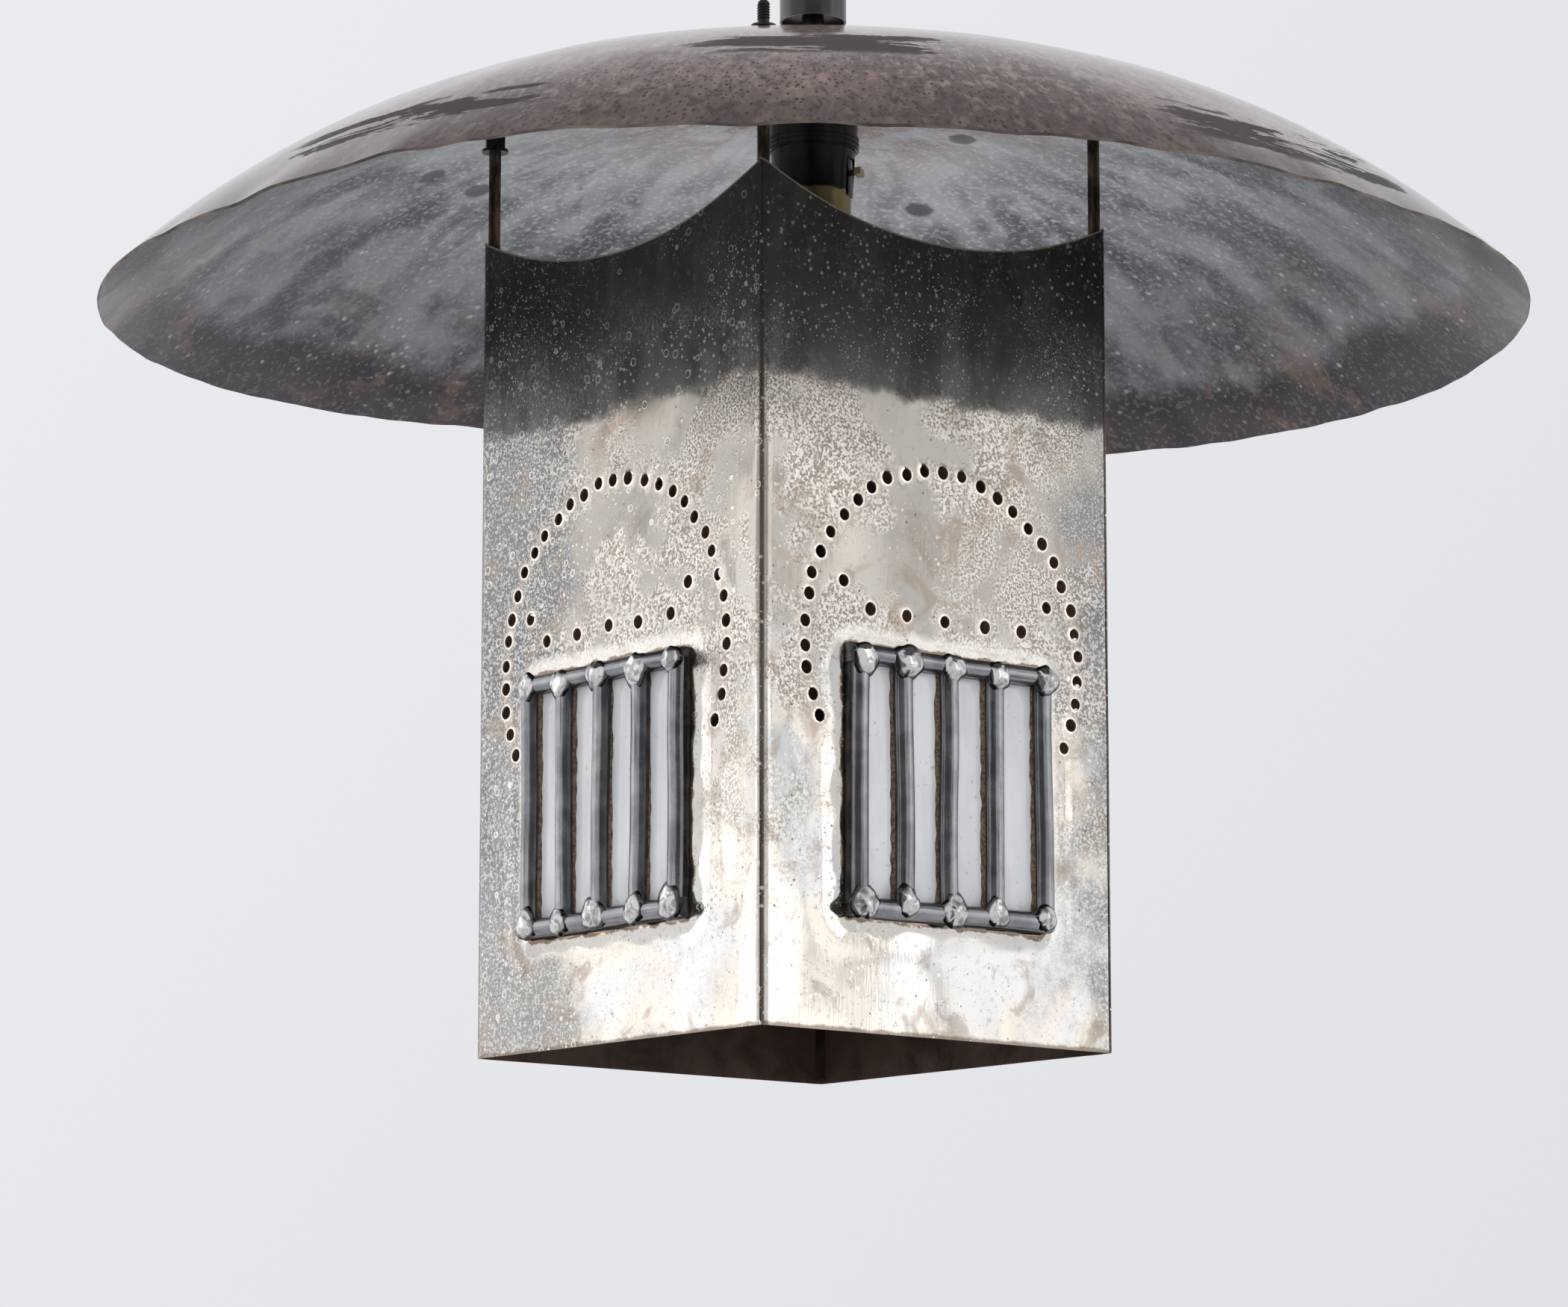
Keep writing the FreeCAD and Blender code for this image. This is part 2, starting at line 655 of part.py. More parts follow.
def make_rods():
    plates = []
    standoffs = []
    retainers = []
    for number, (x, y, radius) in enumerate(rod_places(), start=1):
        seat = seat_under(radius, "standoff_flats / sqrt(3)")
        shoulder = seat + " - standoff_height - plate_height"
        foot = BODY_TOP + " - rod_lap"
        tip = seat_over(radius, "retainer_radius") + " + stud_rise"
        rod = turned(
            "corner_rod_%d" % number,
            [
                ("0", foot),
                ("rod_radius", foot),
                ("rod_radius", shoulder),
                ("stud_radius", shoulder),
                ("stud_radius", tip + " - stud_chamfer"),
                ("stud_radius - stud_chamfer", tip),
                ("0", tip),
            ],
        )
        place(rod, x, y)
        keep(rod, "corner_rod_%d" % number)
        hole = "stud_radius + thread_play"
        plate = ring("plate_%d" % number, "plate_radius", hole, "0", "plate_height")
        plates.append(place(plate, x, y, shoulder))
        standoff = hexagon("standoff_%d" % number, "standoff_flats", "standoff_height", hole)
        standoffs.append(place(standoff, x, y, seat + " - standoff_height"))
        retainer = turned(
            "retainer_%d" % number,
            [
                (hole, "retainer_rise"),
                (hole, "retainer_rise - retainer_wall"),
                ("retainer_radius", "0"),
                ("retainer_radius", "retainer_wall"),
            ],
        )
        retainers.append(place(retainer, x, y, seat_over(radius, "retainer_radius")))
    keep(group("rod_washers", plates), "rod_washers")
    keep(group("rod_standoffs", standoffs), "rod_standoffs")
    keep(group("rod_retainers", retainers), "rod_retainers")


# The pipe, the loop and the tube


def make_stem():
    hole = "pipe_radius + thread_play"
    pipe_top = LOOP_BASE + " + pipe_grip"
    pipe_end = CAP_TOP + " - pipe_grip"
    keep(ring("hang_pipe", "pipe_radius", "pipe_bore", pipe_end, pipe_top), "hang_pipe")
    loop = new_body("hang_loop")
    outer = "(eye_radius + eye_rim)"
    side = "eye_width / 2"
    eye = sketch_on(loop, "XY_Plane")
    draw_outline(
        eye,
        [
            ("eye_radius + eye_chamfer", "-" + side),
            (outer + " - eye_chamfer", "-" + side),
            (outer, "eye_chamfer - " + side),
            (outer, side + " - eye_chamfer"),
            (outer + " - eye_chamfer", side),
            ("eye_radius + eye_chamfer", side),
            ("eye_radius", side + " - eye_chamfer"),
            ("eye_radius", "eye_chamfer - " + side),
        ],
    )
    turn = loop.newObject("PartDesign::Revolution", "hang_loop_turn")
    turn.Profile = eye
    turn.ReferenceAxis = (eye, ["V_Axis"])
    turn.Angle = FULL_TURN
    neck = sketch_on(loop, "XY_Plane", ("0", "0", LOOP_BASE))
    draw_circle(neck, "0", "0", "neck_radius")
    pad(loop, neck, "neck_length")
    drill = sketch_on(loop, "XY_Plane", ("0", "0", LOOP_BASE + " - cut_overrun"))
    draw_circle(drill, "0", "0", hole)
    pocket(loop, drill, "pipe_grip + seat_gap + cut_overrun", reverse=True)
    wire_way = sketch_on(loop, "XY_Plane", ("0", "0", LOOP_BASE + " - cut_overrun"))
    draw_circle(wire_way, "0", "0", "wire_radius")
    pocket(loop, wire_way, "neck_length + eye_rim + cut_overrun", reverse=True)
    keep(loop, "hang_loop")

    cap = turned(
        "stem_cap",
        [
            (hole, TUBE_TOP),
            ("stem_radius + stem_cap_lap", TUBE_TOP),
            ("stem_radius + stem_cap_lap", TUBE_TOP + " + stem_cap_edge"),
            ("neck_radius + stem_cap_lap", TUBE_TOP + " + stem_cap_edge + stem_cap_rise"),
            (hole, TUBE_TOP + " + stem_cap_edge + stem_cap_rise"),
        ],
    )
    keep(cap, "stem_cap")
    keep(ring("stem_tube", "stem_radius", "stem_radius - stem_wall", TUBE_END, TUBE_TOP), "stem_tube")
    ring_low = TUBE_END + " + stem_ring_inset"
    ring_high = ring_low + " + stem_ring_height"
    keep(ring("stem_ring", "stem_radius - stem_wall - thread_play", hole, ring_low, ring_high), "stem_ring")

    keep(ring("upper_washer", "washer_radius", hole, APEX, APEX + " + washer_height"), "upper_washer")
    upper = hexagon("upper_locknut", "nut_flats", "nut_height", hole)
    keep(place(upper, z=APEX + " + washer_height"), "upper_locknut")
    under = APEX + " - shade_thickness - seat_gap - " + shade_drop("washer_radius")
    keep(ring("lower_washer", "washer_radius", hole, under + " - washer_height", under), "lower_washer")
    lower = hexagon("lower_locknut", "nut_flats", "nut_height", hole)
    keep(place(lower, z=under + " - washer_height - nut_height"), "lower_locknut")


# The lamp socket


def make_cap():
    """The ribbed cap that screws on the lower end of the pipe."""
    skirt_top = "(%s - cap_crown)" % CAP_TOP
    crown_base = "(%s - cap_hub_height)" % CAP_TOP
    corners = [
        ("pipe_radius + thread_play", CAP_TOP),
        ("pipe_radius + thread_play", crown_base + " - cap_wall"),
        ("cap_hub_radius", crown_base + " - cap_wall"),
        ("cap_radius - cap_wall", skirt_top + " - cap_wall"),
        ("cap_radius - cap_wall", CAP_END),
        ("cap_radius", CAP_END),
    ]
    for number in range(RIBS):
        low = "%s + %d * rib_pitch + rib_height / 2" % (CAP_END, number)
        corners += [
            ("cap_radius", low),
            ("cap_radius + rib_rise", low),
            ("cap_radius + rib_rise", low + " + rib_height"),
            ("cap_radius", low + " + rib_height"),
        ]
    corners += [
        ("cap_radius", skirt_top),
        ("cap_hub_radius", crown_base),
        ("cap_hub_radius", CAP_TOP),
    ]
    keep(turned("socket_cap", corners), "socket_cap")


def key_tool(name, width, low, high):
    """A block that cuts a slot on the key's side, from level low to high."""
    tool = box(name, "2 * cap_radius", width, "(%s) - (%s)" % (high, low))
    angle = value("key_angle")
    across = Vector(-math.sin(math.radians(angle)), math.cos(math.radians(angle)), 0)
    base = across * (-value(width) / 2) + Vector(0, 0, value(low))
    tool.Placement = Placement(base, Rotation(Vector(0, 0, 1), angle))
    tool.setExpression("Placement.Base.x", cells("sin(key_angle * 1deg) * (%s) / 2" % width))
    tool.setExpression("Placement.Base.y", cells("-cos(key_angle * 1deg) * (%s) / 2" % width))
    tool.setExpression("Placement.Base.z", cells(low))
    tool.setExpression("Placement.Rotation.Angle", cells("key_angle * 1deg"))
    return tool


def make_shells():
    slot_top = KEY_AXIS + " + slot_rise"
    shell = turned(
        "socket_shell_blank",
        [
            ("shell_foot_radius - shell_wall", SHELL_END),
            ("shell_foot_radius", SHELL_END),
            ("shell_radius", CAP_END),
            ("shell_radius", CAP_END + " + shell_tuck"),
            ("shell_radius - shell_wall", CAP_END + " + shell_tuck"),
            ("shell_radius - shell_wall", CAP_END),
        ],
    )
    tool = key_tool("shell_slot", "slot_width", SHELL_END + " - cut_overrun", slot_top)
    keep(cut("socket_shell", shell, tool), "socket_shell")

    sleeve_top = SHELL_END + " + sleeve_tuck"
    sleeve = turned(
        "socket_sleeve_blank",
        [
            ("sleeve_radius - sleeve_wall", SLEEVE_END),
            ("sleeve_radius + sleeve_bead", SLEEVE_END),
            ("sleeve_radius + sleeve_bead", SLEEVE_END + " + 2 * sleeve_bead"),
            ("sleeve_radius", SLEEVE_END + " + 3 * sleeve_bead"),
            ("sleeve_radius", sleeve_top),
            ("sleeve_radius - sleeve_wall", sleeve_top),
        ],
    )
    key_low = KEY_AXIS + " - key_radius - cam_play"
    tool = key_tool("sleeve_slot", "2 * (key_radius + cam_play)", key_low, sleeve_top + " + cut_overrun")
    keep(cut("socket_sleeve", sleeve, tool), "socket_sleeve")

    liner_out = "sleeve_radius - sleeve_wall - liner_play"
    liner = ring(
        "insulating_liner_blank",
        liner_out,
        liner_out + " - liner_wall",
        SLEEVE_END + " + liner_inset",
        sleeve_top,
    )
    tool = key_tool("liner_slot", "2 * (key_radius + cam_play)", key_low, sleeve_top + " + cut_overrun")
    keep(cut("insulating_liner", liner, tool), "insulating_liner")

    tongue = ring(
        "key_tongue_blank",
        "sleeve_radius + liner_play + tongue_wall",
        "sleeve_radius + liner_play",
        SHELL_END + " - tongue_drop",
        slot_top,
    )
    strip = key_tool("key_tongue_strip", "tongue_width", SHELL_END + " - tongue_drop", slot_top)
    piece = doc.addObject("Part::Common", "key_tongue")
    piece.Base = tongue
    piece.Tool = strip
    hole = key_shaft_tool("key_tongue_hole", "key_radius + cam_play", "sleeve_radius - cut_overrun", "shell_radius")
    keep(cut("key_insulator", piece, hole), "key_insulator")


def key_shaft_tool(name, radius, start, end):
    """A cylinder on the key's axis, from one distance off the pipe's axis to another."""
    shaft = cylinder(name, radius, "(%s) - (%s)" % (end, start))
    angle = math.radians(value("key_angle"))
    along = Vector(math.cos(angle), math.sin(angle), 0)
    shaft.Placement = Placement(
        along * value(start) + Vector(0, 0, value(KEY_AXIS)), Rotation(Vector(0, 0, 1), along)
    )
    shaft.setExpression("Placement.Base.x", cells("cos(key_angle * 1deg) * (%s)" % start))
    shaft.setExpression("Placement.Base.y", cells("sin(key_angle * 1deg) * (%s)" % start))
    shaft.setExpression("Placement.Base.z", cells(KEY_AXIS))
    return shaft


def make_switch():
    """The screw shell, the block that holds it, the contact and the key with its cam."""
    screw = turned(
        "screw_shell",
        [
            ("screw_radius", SCREW_END),
            ("screw_radius + screw_wall", SCREW_END),
            ("screw_radius + screw_wall", SCREW_TOP + " - screw_shoulder"),
            ("screw_radius + screw_wall - screw_shoulder", SCREW_TOP),
            ("contact_radius + screw_wall", SCREW_TOP),
            ("contact_radius + screw_wall", SCREW_TOP + " - screw_wall"),
            ("screw_radius + screw_wall - screw_shoulder", SCREW_TOP + " - screw_wall"),
            ("screw_radius", SCREW_TOP + " - screw_shoulder"),
        ],
    )
    keep(screw, "screw_shell")
    contact = turned(
        "centre_contact",
        [
            ("0", SCREW_TOP),
            ("0", SCREW_TOP + " - contact_height"),
            ("contact_radius / 2", SCREW_TOP + " - contact_height"),
            ("contact_radius", SCREW_TOP + " - contact_height / 2"),
            ("contact_radius", SCREW_TOP),
        ],
    )
    keep(contact, "centre_contact")

    block = ring("switch_block", "block_radius", "0", SCREW_TOP, SCREW_TOP + " + block_height")
    pocket_radius = "cam_radius + cam_play"
    drill = key_shaft_tool("key_bore", "key_radius + key_play", "cam_start", "block_radius + cut_overrun")
    bowl = key_shaft_tool("cam_bowl", pocket_radius, "cam_start - cam_play", "cam_start + cam_length + cam_play")
    chute = box(
        "cam_chute",
        "cam_length + 2 * cam_play",
        "2 * (%s)" % pocket_radius,
        "%s + block_height + cut_overrun - (%s)" % (SCREW_TOP, KEY_AXIS),
    )
    angle = value("key_angle")
    turn = Rotation(Vector(0, 0, 1), angle)
    corner = Vector(value("cam_start - cam_play"), -value(pocket_radius), 0)
    chute.Placement = Placement(turn.multVec(corner) + Vector(0, 0, value(KEY_AXIS)), turn)
    hollow = doc.addObject("Part::MultiFuse", "cam_pocket")
    hollow.Shapes = [drill, bowl, chute]
    keep(cut("switch_body", block, hollow), "switch_body")

    key = new_body("switch_key")
    lathe = sketch_on(key, "XZ_Plane")
    head_start = "shell_radius + key_head_gap"
    draw_outline(
        lathe,
        [
            ("cam_start", "0"),
            (head_start, "0"),
            (head_start, "key_radius"),
            ("cam_start + cam_length", "key_radius"),
            ("cam_start + cam_length", "cam_radius"),
            ("cam_start", "cam_radius"),
        ],
    )
    shaft = key.newObject("PartDesign::Revolution", "switch_key_turn")
    shaft.Profile = lathe
    shaft.ReferenceAxis = (lathe, ["H_Axis"])
    shaft.Angle = FULL_TURN
    thumb = sketch_on(key, "YZ_Plane", ("0", "0", head_start))
    draw_rectangle(
        thumb,
        "-key_head_width / 2",
        "-key_head_height / 2",
        "key_head_width / 2",
        "key_head_height / 2",
    )
    pad(key, thumb, "key_head_length")
    place(key, z=KEY_AXIS, turn=angle)
    keep(key, "switch_key")


# Everything, then the checks and the files

make_shade()
make_faces()
make_rods()
make_stem()
make_cap()
make_shells()
make_switch()
doc.recompute()

for item in doc.Objects:
    for word in ("Invalid", "Error"):
        if word in item.State:
            raise RuntimeError("%s did not build: %s" % (item.Name, item.State))
for node in nodes:
    if node.Shape.isNull() or not node.Shape.isValid():
        raise RuntimeError("%s has no sound shape" % node.Label)

os.makedirs("parts", exist_ok=True)
for node in nodes:
    node.Shape.exportStep("parts/%s.step" % node.Label)
    print(node.Label, len(node.Shape.Solids), round(node.Shape.Volume, 3))
print(len(nodes), "sub-parts")
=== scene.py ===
import json
import math
import random

import bmesh
import bpy
import numpy as np
from mathutils import Matrix, Vector, noise


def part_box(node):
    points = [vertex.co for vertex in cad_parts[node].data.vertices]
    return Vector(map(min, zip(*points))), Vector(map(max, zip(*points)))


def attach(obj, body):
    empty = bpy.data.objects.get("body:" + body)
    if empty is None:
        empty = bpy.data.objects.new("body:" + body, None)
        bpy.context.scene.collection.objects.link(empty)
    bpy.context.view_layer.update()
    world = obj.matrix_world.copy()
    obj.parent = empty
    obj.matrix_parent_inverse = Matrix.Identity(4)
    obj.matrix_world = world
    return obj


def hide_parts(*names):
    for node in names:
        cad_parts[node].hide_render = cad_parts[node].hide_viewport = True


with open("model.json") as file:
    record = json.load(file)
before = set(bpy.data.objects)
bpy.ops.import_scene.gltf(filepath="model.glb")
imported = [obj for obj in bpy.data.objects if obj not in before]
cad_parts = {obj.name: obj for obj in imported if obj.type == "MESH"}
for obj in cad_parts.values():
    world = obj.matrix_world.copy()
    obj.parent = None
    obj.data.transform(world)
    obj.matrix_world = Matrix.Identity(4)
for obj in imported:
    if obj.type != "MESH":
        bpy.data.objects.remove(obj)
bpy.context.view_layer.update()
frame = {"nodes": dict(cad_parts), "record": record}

# The lantern lamp in metres: +Z up, the origin in the eye of the loop. A length in millimetres is written times MM, or
# its name ends in _mm or _MM. Colours are linear.
MM = 0.001
nodes = frame["nodes"]
scene = bpy.context.scene
scene.view_settings.view_transform = "Standard"


# Places read from the frame

shade_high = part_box("shade_dome")[1]
FACES = {"front": 0, "right": 1, "back": 2, "left": 3}
panels = {face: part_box("body_panel_" + face) for face in FACES}
body_low = Vector((panels["left"][0].x, panels["front"][0].y, panels["front"][0].z))
body_high = Vector((panels["right"][1].x, panels["back"][1].y, panels["front"][1].z))
LIP = 0.8 * MM
BODY_CENTRE = (body_low + body_high) / 2
BODY_HALF = (body_high.x - body_low.x) / 2 - LIP
BODY_FOOT = body_low.z
BODY_HEIGHT = body_high.z - body_low.z
SHEET = 0.8 * MM

came_low, came_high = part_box("came_bars_front")
rail_low, rail_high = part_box("came_top_rail_front")
WINDOW_HALF = (came_high.x - came_low.x) / 2 + 2.0 * MM
WINDOW_TOP = rail_high.z - BODY_FOOT
WINDOW_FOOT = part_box("came_bottom_rail_front")[0].z - BODY_FOOT
WINDOW_LEVEL = (WINDOW_TOP + WINDOW_FOOT) / 2
WINDOW_RISE = (WINDOW_TOP - WINDOW_FOOT) / 2
# The windows weren't set quite in the middle of their faces
WINDOW_SHIFT = {"front": 1.9 * MM, "left": -3.8 * MM, "right": 1.0 * MM, "back": -1.5 * MM}
RAIL = rail_high.z - rail_low.z
CAME_FRONT, CAME_BACK = (-(corner.y - BODY_CENTRE.y) - BODY_HALF for corner in (came_low, came_high))
GLASS_FRONT, GLASS_BACK = (-(corner.y - BODY_CENTRE.y) - BODY_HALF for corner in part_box("glass_strips_front"))


# Mesh helpers


def as_mesh(bm):
    """Turns a bmesh into a mesh."""
    mesh = bpy.data.meshes.new("mesh")
    bm.to_mesh(mesh)
    bm.free()
    return mesh


def add_object(name, data):
    thing = bpy.data.objects.new(name, data)
    scene.collection.objects.link(thing)
    return thing


def face_outwards(bm):
    bmesh.ops.recalc_face_normals(bm, faces=bm.faces)


def finish_piece(mesh, name, materials, replaced=None, smooth_angle=40):
    """Makes a mesh a visible piece that rides on the lamp in a material slot, in place of a node if one is named."""
    mesh.name = name
    for material in materials:
        mesh.materials.append(material)
    mesh.shade_smooth()
    mesh.set_sharp_from_angle(angle=math.radians(smooth_angle))
    piece = add_object(name, mesh)
    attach(piece, "lamp")
    if replaced:
        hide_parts(replaced)


def face_turn(face):
    """The turn that sets a piece made on the front face on another face."""
    spot = Vector((BODY_CENTRE.x, BODY_CENTRE.y, BODY_FOOT))
    return Matrix.Translation(spot) @ Matrix.Rotation(FACES[face] * math.pi / 2, 4, "Z")


def block(bm, low, high):
    """A box between two corners."""
    made = bmesh.ops.create_cube(bm, size=1.0)["verts"]
    bmesh.ops.scale(bm, vec=Vector(high) - Vector(low), verts=made)
    bmesh.ops.translate(bm, vec=(Vector(low) + Vector(high)) / 2, verts=made)


def read_rows(items, name):
    """A vector of each vertex or polygon, as the rows of an array."""
    values = np.zeros(len(items) * 3)
    items.foreach_get(name, values)
    return values.reshape(-1, 3)


def ripple(points, wave, seed):
    """Smooth noise from -1 to 1 at each point, of waves so long."""
    shift = Vector((seed * 7.3, seed * 3.1, seed * 5.7))
    return np.array([noise.noise(Vector(point) / wave + shift) for point in points])


def waver(seed, start, along, wave):
    """Smooth noise from -1 to 1 along a length, of waves so long."""
    return noise.noise(Vector((seed, start, along / wave)))


# The camera stands where the photograph was taken from

CAMERA_PLACE = (-1.4842, -1.7716, -0.7511)
CAMERA_HEADING = (0.638, 0.770)
CAMERA_PITCH = 0.167
CAMERA_LENS_MM = 126.73

heading = Vector((*CAMERA_HEADING, 0)).normalized()
ahead = heading * math.cos(CAMERA_PITCH) + Vector((0, 0, math.sin(CAMERA_PITCH)))
aside = heading.cross(Vector((0, 0, 1)))
above = aside.cross(ahead)
camera_data = bpy.data.cameras.new("camera")
camera_data.lens = CAMERA_LENS_MM
camera_data.sensor_width = 36
camera_data.clip_end = 50
camera = add_object("camera", camera_data)
camera.matrix_world = Matrix.Translation(CAMERA_PLACE) @ Matrix((aside, above, -ahead)).transposed().to_4x4()
scene.camera = camera


# Node helpers


class Nodes:
    """A node tree under construction, with short names for the nodes it is made of."""

    def __init__(self, tree):
        self.tree = tree

    def add(self, kind, sockets=None, **settings):
        node = self.tree.nodes.new("ShaderNode" + kind)
        for name, value in settings.items():
            setattr(node, name, value)
        for name, value in (sockets or {}).items():
            self.put(node.inputs[name], value)
        return node

    def put(self, socket, value):
        if isinstance(value, bpy.types.NodeSocket):
            self.tree.links.new(value, socket)
        elif isinstance(value, tuple) and len(value) == 3 and socket.type == "RGBA":
            socket.default_value = (*value, 1.0)
        else:
            socket.default_value = value

    def calc(self, operation, first, second=0.0, clamp=False):
        return self.add("Math", {0: first, 1: second}, operation=operation, use_clamp=clamp).outputs[0]

    def times(self, first, *others):
        for other in others:
            first = self.calc("MULTIPLY", first, other)
        return first

    def plus(self, first, second, gain=1.0):
        """The first value and the second times a gain. With a cloud as the second, a ragged border."""
        return self.calc("ADD", first, self.calc("MULTIPLY", second, gain))

    def vector(self, operation, first, second=(0.0, 0.0, 0.0), output="Vector"):
        return self.add("VectorMath", {0: first, 1: second}, operation=operation).outputs[output]

    def span(self, value, low, high, to_low=0.0, to_high=1.0, smooth=True):
        """Maps a value from one span to another, held at the ends."""
        kind = "SMOOTHSTEP" if smooth else "LINEAR"
        sockets = {"Value": value, "From Min": low, "From Max": high, "To Min": to_low, "To Max": to_high}
        return self.add("MapRange", sockets, interpolation_type=kind).outputs[0]

    def mix(self, share, first, second):
        node = self.add("Mix", data_type="RGBA")
        self.put(node.inputs[0], share)
        self.put(node.inputs[6], first)
        self.put(node.inputs[7], second)
        return node.outputs[2]

    def blend(self, value, low, high, first, second):
        """The first colour below low and the second above high."""
        return self.mix(self.span(value, low, high), first, second)


class Finish(Nodes):
    """A material under construction, with its base colour so far. All sizes of its patterns are in millimetres."""

    def __init__(self, name):
        self.material = bpy.data.materials.new(name)
        self.material.use_nodes = True
        super().__init__(self.material.node_tree)
        self.coords = self.add("TexCoord").outputs["Object"]
        self.base = None

    def lay(self, colour, mask, share=1.0):
        """Lays a colour over the base by a mask and a share. A mask of (value, low, high) grows from low to high."""
        mask = self.span(*mask) if isinstance(mask, tuple) else mask
        self.base = self.mix(self.times(mask, share), self.base, colour)

    def close(self, metallic, rough, relief=None, depth=0.0, **more):
        """Sets the shader, with a relief of a depth and more sockets, underscores for spaces. Gives the material."""
        sockets = {"Base Color": self.base, "Metallic": metallic, "Roughness": rough}
        if relief is not None:
            bump = self.add("Bump", {"Height": relief, "Distance": depth * MM, "Strength": 1.0})
            sockets["Normal"] = bump.outputs[0]
        for name, value in {**sockets, **more}.items():
            self.put(self.tree.nodes["Principled BSDF"].inputs[name.replace("_", " ")], value)
        return self.material

    def stretch(self, scale):
        return self.add("Mapping", {"Vector": self.coords, "Scale": scale}).outputs[0]

    def cloud(self, size, detail=3.0, rough=0.55, vector=None, warp=0.0):
        """Noise from about 0.3 to 0.7. The size is that of one cloud."""
        vector = vector or self.coords
        sockets = {"Vector": vector, "Scale": 1 / (size * MM), "Detail": detail, "Roughness": rough, "Distortion": warp}
        return self.add("TexNoise", sockets).outputs[0]

    def mesh_float(self, name):
        """A float written on the mesh."""
        return self.add("Attribute", attribute_name=name).outputs["Fac"]

    def axis(self, name):
        """One coordinate of the object, X, Y or Z, in metres."""
        return self.add("SeparateXYZ", {0: self.coords}).outputs[name]

    def cells(self, pitch, largest, share, seed=0.0, vector=None):
        """Scattered round cells: the distance from a cell's middle over its radius, and 1 where the cell is used."""
        moved = self.vector("ADD", vector or self.coords, (seed, seed * 2, seed * 3))
        cells = self.add("TexVoronoi", {"Vector": moved, "Scale": 1 / (pitch * MM)}).outputs
        lot = self.add("SeparateColor", {0: cells["Color"]}).outputs
        radius = self.times(self.span(lot[0], 0.0, 1.0, SMALLEST_CELL, 1.0, smooth=False), largest / pitch)
        return self.calc("DIVIDE", cells["Distance"], radius), self.calc("LESS_THAN", lot[1], share)

    def spots(self, pitch, largest, share, soft=0.25, seed=0.0, vector=None):
        """Round spots, 1 inside and 0 outside."""
        edge, used = self.cells(pitch, largest, share, seed, vector)
        return self.times(self.span(edge, 1.0 + soft, 1.0 - soft), used)


class ShadeFinish(Finish):
    """A material of the shade, which knows the distance and the direction out from the pipe."""

    def __init__(self, name):
        super().__init__(name)
        flat = self.vector("MULTIPLY", self.coords, (1.0, 1.0, 0.0))
        self.radius = self.vector("LENGTH", flat, output="Value")
        self.outward = self.vector("NORMALIZE", flat)

    def polar(self, around, along):
        """Coordinates that follow the dome: a circle of radius around, and the distance from the pipe times along."""
        circle = self.vector("MULTIPLY", self.outward, (around, around, around))
        upright = self.add("CombineXYZ", {"Z": self.times(self.radius, along)}).outputs[0]
        return self.vector("ADD", circle, upright)


# Finishes

# The smallest cell, as a share of the largest
SMALLEST_CELL = 0.3
# The span over which a cloud goes from dark to pale
CLOUDY = (0.35, 0.65)
# Heights above the body's foot: the edge of the painted dark reflection, and where it goes from grey to black
REFLECTION_EDGE = (0.271, 0.277)
REFLECTION_DEEPENS = (0.262, 0.325)
# Heights, blurred by large clouds, over which the pale foot fades, the drab grey grows and the crust grows
PALE_FOOT_FADES = (0.21, 0.12)
DRAB_GREY_GROWS = (0.17, 0.27)
CRUST_GROWS = (0.10, 0.22)
# Where dark reflections are painted on the shade's outside: the direction out from the pipe, the nearest and the
# farthest distance from it, and how closely a point has to lie in that direction, as a cosine
DARK_REFLECTIONS = (
    ((-0.966, -0.259, 0.0), 0.264, 0.280, 0.950),
    ((0.035, -0.999, 0.0), 0.268, 0.288, 0.955),
    ((-0.629, -0.777, 0.0), 0.214, 0.236, 0.955),
)
UNDERSIDE_MARKS = (
    (-0.0935, 0.1505, -0.1378),
    (-0.0595, 0.1627, -0.1367),
    (0.1299, 0.0796, -0.1314),
    (0.0910, 0.0057, -0.1195),
)
# The rods are blackened above this height
ROD_BLACK = (-0.137, -0.134)


def plain_metal(name, colour, rough, blotch=0.15, grain_mm=4.0, metallic=1.0, bump_mm=0.03):
    """A metal with faint blotches and a fine skin."""
    kit = Finish(name)
    skin = kit.cloud(grain_mm / 6, 3.0)
    dark = tuple(channel * (1 - 2 * blotch) for channel in colour)
    kit.base = kit.blend(kit.cloud(grain_mm * 4, 4.0), *CLOUDY, dark, colour)
    roughness = kit.span(skin, 0.3, 0.7, rough * 0.8, rough * 1.25)
    return kit.close(metallic, roughness, skin, bump_mm)


def dark_finish(name, colour, rough, coat=0.0):
    """Black paint or moulding with a faint skin."""
    kit = Finish(name)
    clouds = kit.cloud(11, 4.0)
    lighter = tuple(channel * 1.9 for channel in colour)
    kit.base = kit.blend(clouds, 0.42, 0.68, colour, lighter)
    roughness = kit.span(clouds, *CLOUDY, rough * 0.85, rough * 1.2)
    return kit.close(0.0, roughness, kit.cloud(0.7, 2.0), 0.012, Coat_Weight=coat, Coat_Roughness=0.15)


